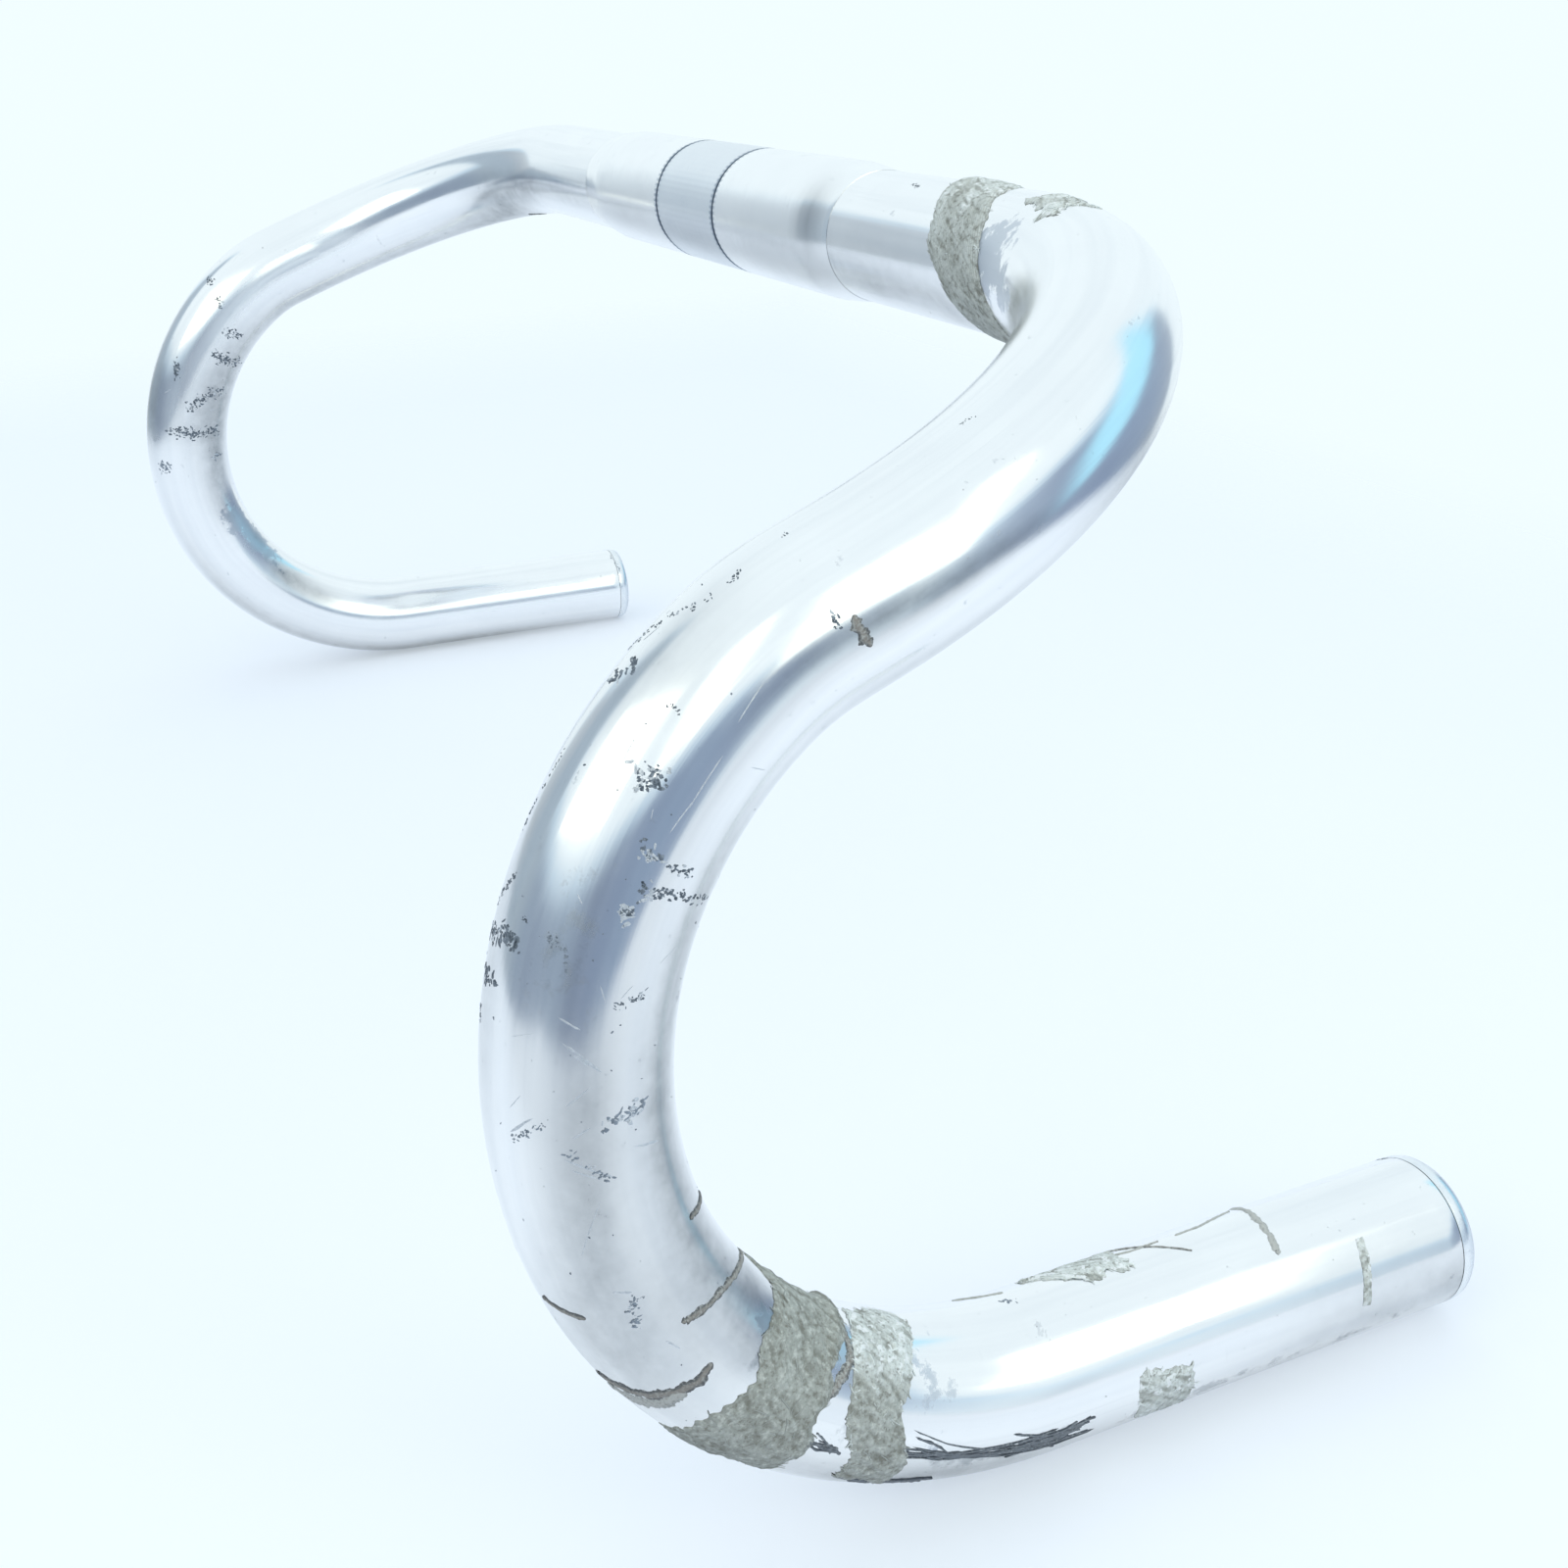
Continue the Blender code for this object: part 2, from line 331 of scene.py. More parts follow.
plugSet = {
    "sides": 96,
    # radius and distance from the tube's end, from the middle of the head back into the bore
    "outline": [(0.0, 0.0030), (0.0094, 0.0030), (0.0104, 0.00288), (0.0112, 0.0024),
                (0.0117, 0.0017), (0.0119, 0.0008), (0.0119, -0.00022), (0.0090, -0.00022),
                (0.0090, -0.0027), (0.00955, -0.0032), (0.00955, -0.0043), (0.0090, -0.0054),
                (0.0090, -0.0072), (0.00955, -0.0077), (0.00955, -0.0088), (0.0090, -0.0099),
                (0.0090, -0.0117), (0.00955, -0.0122), (0.00955, -0.0133), (0.0090, -0.0144),
                (0.0090, -0.0160), (0.0080, -0.0170), (0.0072, -0.0170), (0.0072, -0.0015),
                (0.0, -0.0015)],
}


def makePlug(name, side):
    deselect()
    point, direction, normal = barAt(tubeLength + barSet["seam"])
    if side < 0:
        point, direction, normal = [Vector((-v.x, v.y, v.z)) for v in (point, direction, normal)]
    outline = plugSet["outline"]
    spots = [point + normal * radius + direction * along for radius, along in outline]
    bpy.ops.mesh.primitive_plane_add(size=0.001)
    plug = started(name)
    bpy.ops.object.mode_set(mode="EDIT")
    bpy.ops.mesh.select_all(action="SELECT")
    bpy.ops.mesh.merge(type="CENTER")
    bpy.ops.transform.translate(value=spots[0])
    for before, after in zip(spots, spots[1:]):
        bpy.ops.mesh.extrude_region_move(TRANSFORM_OT_translate={"value": after - before})
    bpy.ops.mesh.select_all(action="SELECT")
    bpy.ops.mesh.spin(steps=plugSet["sides"], angle=2 * pi, center=point, axis=direction)
    bpy.ops.object.mode_set(mode="OBJECT")
    outward(plug)
    smoothAt(plug, 40)
    return plug


endPlugs = [makePlug("endPlugLeft", 1), makePlug("endPlugRight", -1)]
print("metal pieces modelled")


# where each of a piece's vertices is on the bar: metres along, radians round

def barPlaces(piece):
    spots = np.empty(len(piece.data.vertices) * 3)
    piece.data.vertices.foreach_get("co", spots)
    spots = spots.reshape(-1, 3)
    stations = [barAt(barLength * i / 1200) for i in range(1201)]
    tree = KDTree(len(stations))
    for index, station in enumerate(stations):
        tree.insert(station[0], index)
    tree.balance()
    places = np.empty((len(spots), 2))
    for row, spot in enumerate(spots):
        folded = Vector((abs(spot[0]), spot[1], spot[2]))
        index = tree.find(folded)[1]
        point, direction, normal = stations[index]
        off = folded - point
        along = barLength * index / 1200 + off.dot(direction)
        around = atan2(off.dot(direction.cross(normal)), off.dot(normal))
        places[row] = (along if spot[0] >= 0 else -along, around)
    return places


# films of old glue and grime on the tube, with painted shade, painted reflections and painted highlights:
# metres along, degrees round, reach of each, strength
filmAndPaintedLightSet = {
    "haze": [(0.138, 72, 0.010, 34, 0.9), (0.150, 92, 0.008, 18, 0.8), (0.392, 262, 0.004, 40, 0.5),
             (-0.352, 166, 0.012, 22, 0.9), (-0.340, 158, 0.010, 24, 0.8), (0.3585, 252, 0.005, 16, 0.8),
             (0.375, 245, 0.004, 24, 0.8)],
    "grime": [(0.131, 80, 0.003, 60, 0.5), (0.360, 282, 0.003, 60, 0.4), (0.378, 285, 0.003, 50, 0.5),
              (0.404, 312, 0.018, 9, 0.6), (0.445, 322, 0.030, 8, 0.5), (0.293, 330, 0.010, 25, 0.5)],
    # painted shade and painted reflections: dark patches and lines in the metal's colour, which is also a
    # little rougher there
    "dull": [(0.0665, 75, 0.0044, 27, 0.42), (0.046, 116, 0.026, 20, 0.38), (0.000, 116, 0.030, 18, 0.40),
             (-0.045, 112, 0.026, 18, 0.38), (0.256, 301, 0.008, 6, 0.22), (0.248, 297, 0.008, 6, 0.26),
             (0.240, 296, 0.008, 6, 0.32), (0.233, 291, 0.008, 6, 0.34), (0.226, 288, 0.008, 6, 0.26),
             (0.262, 6, 0.008, 10, 0.16), (0.350, 14, 0.010, 8, 0.34), (0.354, 234, 0.005, 18, 0.45),
             (0.358, 268, 0.005, 16, 0.32), (0.452, 336, 0.016, 12, 0.22), (0.488, 312, 0.006, 26, 0.25),
             (0.094, 118, 0.034, 26, 0.34), (0.122, 140, 0.010, 22, 0.30), (0.198, 254, 0.012, 16, 0.55),
             (0.235, 240, 0.030, 14, 0.28), (0.285, 250, 0.016, 16, 0.34), (0.316, 256, 0.022, 20, 0.50),
             (0.344, 250, 0.014, 24, 0.50), (0.300, 28, 0.020, 22, 0.28), (0.315, 308, 0.013, 16, 0.34),
             (0.330, 320, 0.012, 18, 0.22),
             (0.344, 338, 0.014, 36, 0.34), (0.346, 288, 0.010, 18, 0.16), (0.388, 336, 0.016, 18, 0.42),
             (0.403, 328, 0.014, 16, 0.32), (0.426, 342, 0.028, 16, 0.28), (0.474, 306, 0.022, 34, 0.26),
             (-0.100, 108, 0.030, 16, 0.32), (-0.138, 112, 0.014, 22, 0.46), (-0.157, 142, 0.013, 44, 0.47),
             (-0.172, 166, 0.014, 24, 0.42), (-0.200, 172, 0.026, 20, 0.34), (-0.245, 170, 0.026, 22, 0.38),
             (-0.292, 150, 0.024, 38, 0.46), (-0.300, 40, 0.013, 26, 0.40), (-0.365, 66, 0.026, 16, 0.27),
             (-0.425, 57, 0.042, 18, 0.50), (-0.367, 152, 0.009, 16, 0.50), (-0.316, 156, 0.016, 16, 0.42),
             (-0.330, 140, 0.010, 14, 0.25), (-0.350, 172, 0.008, 14, 0.22), (-0.295, 126, 0.007, 16, 0.16),
             (-0.306, 118, 0.003, 40, 0.17), (-0.380, 148, 0.008, 14, 0.27), (0.357, 6, 0.008, 10, 0.16),
             (0.2635, 348, 0.009, 20, 0.13)],
    # painted highlights: pale, less metallic patches in the metal's colour
    "paintedHighlight": [(-0.226, 102, 0.011, 11, 0.85), (-0.242, 105, 0.013, 11, 0.75),
              (-0.258, 106, 0.012, 11, 0.75),
              (-0.272, 105, 0.010, 12, 0.60), (-0.286, 99, 0.010, 14, 0.40), (-0.300, 84, 0.008, 14, 0.30),
              (-0.430, 134, 0.030, 9, 0.55), (-0.468, 132, 0.024, 9, 0.55), (-0.434, 153, 0.016, 9, 0.5)],
}


def paintFilmsAndLight(piece):
    places = barPlaces(piece)
    count = len(places)
    follow = np.empty((count, 3))
    follow[:, 0] = barSet["radius"] * np.cos(places[:, 1])
    follow[:, 1] = barSet["radius"] * np.sin(places[:, 1])
    follow[:, 2] = places[:, 0]
    marked(piece, "barCoords", "FLOAT_VECTOR", follow.ravel())
    filmsAndPaintedLight = np.zeros((count, 4))
    for channel, kind in enumerate(("haze", "grime", "dull", "paintedHighlight")):
        film = filmsAndPaintedLight[:, channel]
        for along, degrees, reach, spread, strength in filmAndPaintedLightSet[kind]:
            turned = (np.degrees(places[:, 1]) - degrees + 180) % 360 - 180
            away = np.hypot((places[:, 0] - along) / reach, turned / spread)
            if channel < 2:  # haze and grime have a firm edge, the others fade out
                film[:] = np.maximum(film, strength * np.clip(1.4 - away, 0, 1))
            else:
                film[:] = 1 - (1 - film) * (1 - strength * np.exp(-0.9 * away * away))
    marked(piece, "filmsAndPaintedLight", "FLOAT_COLOR", filmsAndPaintedLight.ravel())


paintFilmsAndLight(barTube)
paintFilmsAndLight(clampSleeve)


# old cloth tape: where each scrap starts along the bar, its width there, where it starts round the
# bar, how far it turns and winds on, how ragged it is (metres and degrees), and its threads
tapeSet = {
    "grid": 0.00017,
    "thickness": 0.00034,
    "lift": 0.00038,
    "scraps": {
        "tapeBandCorner": ("tape_band_corner", 0.100, 0.018, -35, 215, 0.031, 0.0009, 0.4, 2),
        "tapeScrapCorner": ("tape_scrap_corner", 0.134, 0.011, -14, 38, 0.002, 0.0017, 1.7, 10),
        "tapeBandHook": ("tape_band_hook", 0.3590, 0.0148, 196, 160, 0.0, 0.0008, 2.9, -18),
        "tapeScrapHookUnder": ("tape_scrap_hook_under", 0.3600, 0.008, 350, 42, 0.002, 0.0010, 3.6, -30),
        "tapeBandDrop": ("tape_band_drop", 0.3782, 0.0102, 202, 138, 0.0015, 0.0008, 4.4, -25),
        "tapeScrapDropFront": ("tape_scrap_drop_front", 0.4265, 0.0093, 288, 44, 0.0005, 0.0007, 5.2, 4),
        "tapeScrapDropTop": ("tape_scrap_drop_top", 0.4165, 0.0155, 172, 38, 0.001, 0.0016, 6.1, 8),
        "tapeStripDrop": ("tape_strip_drop", 0.4681, 0.0015, 248, 48, -0.0015, 0.0003, 7.3, 0),
    },
    # pitch of the threads, height of the weave, of matted lumps and of the slack in the middle, share
    # of ribs in the weave, paleness all over and at the start
    "cloth": {
        "tapeBandCorner": (0.00062, 0.00008, 0.00010, 0.00050, 0.9, 0.22, 1.05),
        "tapeScrapCorner": (0.00062, 0.00006, 0.00008, 0.0001, 0.9, 0.85, 0.2),
        "tapeBandHook": (0.00085, 0.00004, 0.00019, 0.00025, 0.3, 0.0, 0.15),
        "tapeScrapHookUnder": (0.00085, 0.00004, 0.00015, 0.0001, 0.3, 0.05, 0.0),
        "tapeBandDrop": (0.00085, 0.00005, 0.00020, 0.00020, 0.3, 0.20, 1.35),
        "tapeScrapDropFront": (0.00095, 0.00010, 0.00006, 0.0001, 0.2, 0.84, 0.4),
        "tapeScrapDropTop": (0.00085, 0.00005, 0.00008, 0.00005, 0.3, 0.92, 0.2),
        "tapeStripDrop": (0.00085, 0.00005, 0.00005, 0.00005, 0.0, 0.75, 0.6),
    },
    # how the two long edges of a scrap stray from straight, at shares of its turn, and how far its
    # end slants
    "shapes": {
        "tapeBandHook": {"at": (0, 0.06, 0.13, 0.45, 0.6, 0.75, 1), "slant": 0.0027,
                         "first": (-0.005, -0.0025, 0, 0, 0.0016, 0.0012, 0.001),
                         "second": (0.001, 0.001, 0.001, -0.0008, -0.001, 0, 0)},
        "tapeBandDrop": {"at": (0, 0.25, 0.36, 0.5, 0.67, 0.76, 1), "slant": 0,
                         "first": (-0.0008, -0.0018, -0.0019, -0.0022, -0.0006, 0.0012, 0.0018),
                         "second": (0.002, 0, -0.0013, -0.0033, -0.0018, 0, 0)},
        "tapeScrapDropTop": {"at": (0, 1), "slant": 0, "first": (0, 0.007), "second": (0, 0)},
    },
    # cut sizes of the three tape bands
    "flat": {
        "tapeBandCorner": (0.0148, 0.0544),
        "tapeBandHook": (0.0148, 0.0338),
        "tapeBandDrop": (0.0102, 0.0292),
    },
}


def ripple(along, across, seed, size):
    return noise.noise(Vector((along / size, across / size, seed * 7.7)))


# a point of a scrap, from its place along and across the cut: where it lies on the bar, how high,
# and the state of its threads
def clothAt(name, along, across):
    node, start, width, first, turn, wind, ragged, seed, skew = tapeSet["scraps"][name]
    pitch, relief, matted, slack, ribs, pale, paleStart = tapeSet["cloth"][name]
    reach = radians(turn) * barSet["radius"]
    x, y = along * reach, across * width
    edge, end = across * 2 - 1, along * 2 - 1
    shape = tapeSet["shapes"].get(name)
    rolled = 0.0
    if shape:
        strays = [np.interp(along, shape["at"], shape[side]) for side in ("first", "second")]
        y += strays[0] * (1 - across) + strays[1] * across
        x -= shape["slant"] * edge * along ** 4
    if name == "tapeBandHook":  # its edge next to the drop is rolled over
        rolled = exp(-((1 - across) * width / 0.0011 - 1) ** 2) * max(0, 1 - along / 0.7)
    # torn outline: long waves, and short ones as wide as a thread
    longTear, shortTear = ripple(x, edge > 0, seed, 0.005), ripple(x, edge > 0, seed + 3, 0.0009)
    y += abs(edge) ** 4 * ragged * (1.6 * longTear + 0.6 * shortTear)
    longTear, shortTear = ripple(end > 0, y, seed + 5, 0.003), ripple(end > 0, y, seed + 8, 0.0007)
    x += abs(end) ** 4 * ragged * (2.2 * longTear + 0.8 * shortTear)
    slant = radians(skew)
    drift = 0.0006 * ripple(x, y, seed + 9, 0.006)
    warp = (x * cos(slant) + y * sin(slant) + drift) / pitch * pi
    weft = (y * cos(slant) - x * sin(slant) - drift) / pitch * pi
    even = 0.65 + 0.7 * ripple(x, y, seed + 2, 0.0025)
    weave = (cos(warp) * cos(weft) * (1 - ribs) + cos(weft * 2) * ribs) * even
    lumps = ripple(x, y, seed + 11, 0.0045) + 0.7 * ripple(x, y, seed + 13, 0.0014)
    # matted fibres lie aslant in loose bundles
    fibre = ripple(x * 0.45 + y * 0.89, (y * 0.45 - x * 0.89) * 3.6, seed + 17, 0.0032)
    inside = max(0, min((1 - abs(edge)) * width, (1 - abs(end)) * reach) / 2)
    fade = min(1, inside / 0.0016)
    puff = slack * min(1, inside / 0.004) * (0.7 + 0.6 * ripple(x, y, seed + 19, 0.008))
    relief = relief * weave + matted * (0.5 * lumps + 0.9 * fibre)
    lift = tapeSet["lift"] * (0.25 + 0.75 * fade) + puff + (0.2 + 0.8 * fade) * relief + 0.0006 * rolled
    paleHere = pale * (1 + 0.8 * lumps) + paleStart * max(0, 1 - along / 0.6) * (0.8 + 0.6 * lumps)
    return {
        "distance": start + wind * x / reach + y,
        "degrees": first + turn * x / reach,
        "lift": max(0.00007, lift),
        "weave": (x, y, weave),
        # the rolled edge lowers the second value, which the finish paints darker as a painted shadow of the
        # fold
        "worn": (1 - min(1, inside / 0.0009), 0.5 + 0.5 * fibre - 0.35 * rolled, 0.5 + 0.5 * lumps,
                 min(1, max(0, paleHere))),
    }


def makeScrap(name):
    node, start, width, first, turn, wind = tapeSet["scraps"][name][:6]
    deselect()
    rows = max(8, ceil(radians(turn) * barSet["radius"] / tapeSet["grid"]))
    columns = max(6, ceil(width / tapeSet["grid"]))
    bpy.ops.mesh.primitive_grid_add(x_subdivisions=rows, y_subdivisions=columns, size=2)
    scrap = started(name)
    weave, worn = [], []
    for vert in scrap.data.vertices:
        cloth = clothAt(name, (vert.co.x + 1) / 2, (vert.co.y + 1) / 2)
        vert.co = onBar(cloth["distance"], cloth["degrees"], cloth["lift"])
        weave.extend(cloth["weave"])
        worn.extend(cloth["worn"])
    marked(scrap, "weave", "FLOAT_VECTOR", weave)
    marked(scrap, "worn", "FLOAT_COLOR", worn)
    outward(scrap)
    middle = barAt(start + width / 2 + wind / 2)[0]
    face = scrap.data.polygons[len(scrap.data.polygons) // 2]
    if face.normal.dot(face.center - middle) < 0:
        scrap.data.flip_normals()
    body = scrap.modifiers.new("body", "SOLIDIFY")
    body.thickness = tapeSet["thickness"]
    body.offset = -1
    applyAll(scrap)
    smoothAt(scrap, 60)
    settle(scrap, "cloth_tape", node)
    return scrap


tapeScraps = {name: makeScrap(name) for name in tapeSet["scraps"]}
print("tape modelled")


# the place at a distance along a path of straight steps
def walked(points, here):
    for first, last in zip(points, points[1:]):
        step = (last - first).length
        if here <= step:
            break
        here -= step
    return first.lerp(last, max(0, min(1, here / step)))


# strips that lie on the bar, each with its path (mm along, degrees round, mm above), width in mm,
# height in metres, seed, raggedness and tone; they are domed across, and one grid is cut into them
def makeStrips(name, strips, rows, columns, depth):
    deselect()
    lanes = len(strips) * (rows + 1) - 1
    bpy.ops.mesh.primitive_grid_add(x_subdivisions=lanes, y_subdivisions=columns, size=2)
    piece = started(name)
    bpy.ops.object.mode_set(mode="EDIT")
    bpy.ops.mesh.select_mode(type="FACE")
    bpy.ops.mesh.select_all(action="DESELECT")
    sheet = bmesh.from_edit_mesh(piece.data)
    for face in sheet.faces:
        lane = int((face.calc_center_median().x + 1) / 2 * lanes)
        face.select_set(lane % (rows + 1) == rows)
    bmesh.update_edit_mesh(piece.data)
    bpy.ops.mesh.delete(type="FACE")
    bpy.ops.object.mode_set(mode="OBJECT")
    paths = []
    for path, width, height, seed, ragged, tone in strips:
        points = []
        for along, degrees, *raised in path:
            points.append(Vector((along * mm, radians(degrees) * barSet["radius"], sum(raised) * mm)))
        paths.append((points, sum((b - a).length for a, b in zip(points, points[1:]))))
    above, rim, owner = [], [], []
    for vert in piece.data.vertices:
        number, row = divmod(round((vert.co.x + 1) / 2 * lanes), rows + 1)
        path, width, height, seed, ragged, tone = strips[number]
        points, total = paths[number]
        across, here = vert.co.y, row / rows * total
        centre = walked(points, here)
        way = walked(points, here + width * mm / 2) - walked(points, here - width * mm / 2)
        way.z = 0
        way.normalize()
        taper = min(1, here / (width * mm * 0.7), (total - here) / (width * mm * 0.7)) ** 0.5
        uneven = ripple(here, across > 0, seed, 0.0012) + 0.6 * ripple(here, across > 0, seed + 4, 0.0004)
        reach = width * mm / 2 * taper * max(0.12, 1 + ragged * uneven)
        centre = centre + Vector((-way.y, way.x, 0)) * across * reach
        sag = (1 - across * across) * taper
        rough = 1 + 0.5 * ripple(centre.x, centre.y, seed + 6, 0.0006)
        degrees = centre.y / barSet["radius"] * 180 / pi
        foot = onBar(centre.x, degrees, 0)
        vert.co = onBar(centre.x, degrees, centre.z + height * sag * rough + 0.00001)
        above.append(vert.co - foot)
        owner.append(number)
        rim.extend((abs(across), tone, row / rows))
    marked(piece, "rim", "FLOAT_VECTOR", rim)
    # a strip that looks at the bar is turned over before it gets its depth
    bpy.ops.object.mode_set(mode="EDIT")
    bpy.ops.mesh.select_all(action="DESELECT")
    sheet = bmesh.from_edit_mesh(piece.data)
    facing = [0.0] * len(strips)
    for face in sheet.faces:
        face.normal_update()
        corner = face.verts[0].index
        facing[owner[corner]] += face.calc_area() * face.normal.dot(above[corner])
    for face in sheet.faces:
        face.select_set(facing[owner[face.verts[0].index]] < 0)
    bmesh.update_edit_mesh(piece.data)
    bpy.ops.mesh.flip_normals()
    bpy.ops.mesh.select_mode(type="VERT")
    bpy.ops.mesh.select_all(action="SELECT")
    bpy.ops.mesh.remove_doubles(threshold=0.0000001)  # every strip ends in one point
    bpy.ops.object.mode_set(mode="OBJECT")
    body = piece.modifiers.new("body", "SOLIDIFY")
    body.thickness = depth
    body.offset = -1
    applyAll(piece)
    smoothAt(piece, 60)
    return piece


# a place part of the way along a path
def partWay(path, step):
    spot = min(int(step), len(path) - 2)
    share = step - spot
    return [a + (b - a) * share for a, b in zip(path[spot], path[spot + 1])]


# a short straight stroke about a place: mm along, degrees round, length in mm, turn from the girth
perDegree = barSet["radius"] / mm * pi / 180


def stroke(along, degrees, long, turn):
    x, y = long / 2 * sin(turn), long / 2 * cos(turn) / perDegree
    return [(along - x, degrees - y), (along + x, degrees + y)]


# loose threads: how many lie on each scrap, most of them along its torn edges
fraySet = {
    "seed": 5,
    "counts": {"tapeBandCorner": 70, "tapeScrapCorner": 12, "tapeBandHook": 70, "tapeScrapHookUnder": 16,
               "tapeBandDrop": 60, "tapeScrapDropFront": 12, "tapeScrapDropTop": 20},
    "length": (0.0010, 0.0030),
    "width": (0.10, 0.24),
    "atEdge": 0.65,
}


def makeFrays():
    rng = np.random.default_rng(fraySet["seed"])
    strips = []
    for name, count in fraySet["counts"].items():
        width, turn = tapeSet["scraps"][name][2], tapeSet["scraps"][name][4]
        reach = radians(turn) * barSet["radius"]
        leaning = radians(tapeSet["scraps"][name][8])
        for strand in range(count):
            x, y = rng.uniform(0, reach), rng.uniform(0, width)
            if rng.random() < fraySet["atEdge"]:
                if rng.random() < width / (width + reach):
                    x = rng.choice((0.0002, reach - 0.0002))
                else:
                    y = rng.choice((0.0002, width - 0.0002))
            way = leaning + rng.choice((0.1, 0.9, 1.5)) + rng.normal(0, 0.35)
            curl = rng.normal(0, 0.5)
            length = rng.uniform(*fraySet["length"])
            path = []
            for step in np.linspace(-0.5, 0.5, 6):
                turned = way + curl * step
                along = (x + cos(turned) * length * step) / reach
                across = (y + sin(turned) * length * step) / width
                kept = min(1, max(0, along)), min(1, max(0, across))
                cloth = clothAt(name, *kept)
                outside = hypot((along - kept[0]) * reach, (across - kept[1]) * width)
                overhang = (along - kept[0]) * turn, (across - kept[1]) * width
                lift = cloth["lift"] + 0.00003 - min(0.00004, outside * 0.1)
                distance, degrees = cloth["distance"] + overhang[1], cloth["degrees"] + overhang[0]
                path.append((distance / mm, degrees, lift / mm))
            tone = clothAt(name, x / reach, y / width)["worn"][3] + rng.normal(0, 0.15)
            strips.append((path, rng.uniform(*fraySet["width"]), 0.00005, 3000 + len(strips), 0.5, tone))
    return makeStrips("frayedThreads", strips, 10, 3, 0.00003)


frayedThreads = makeFrays()


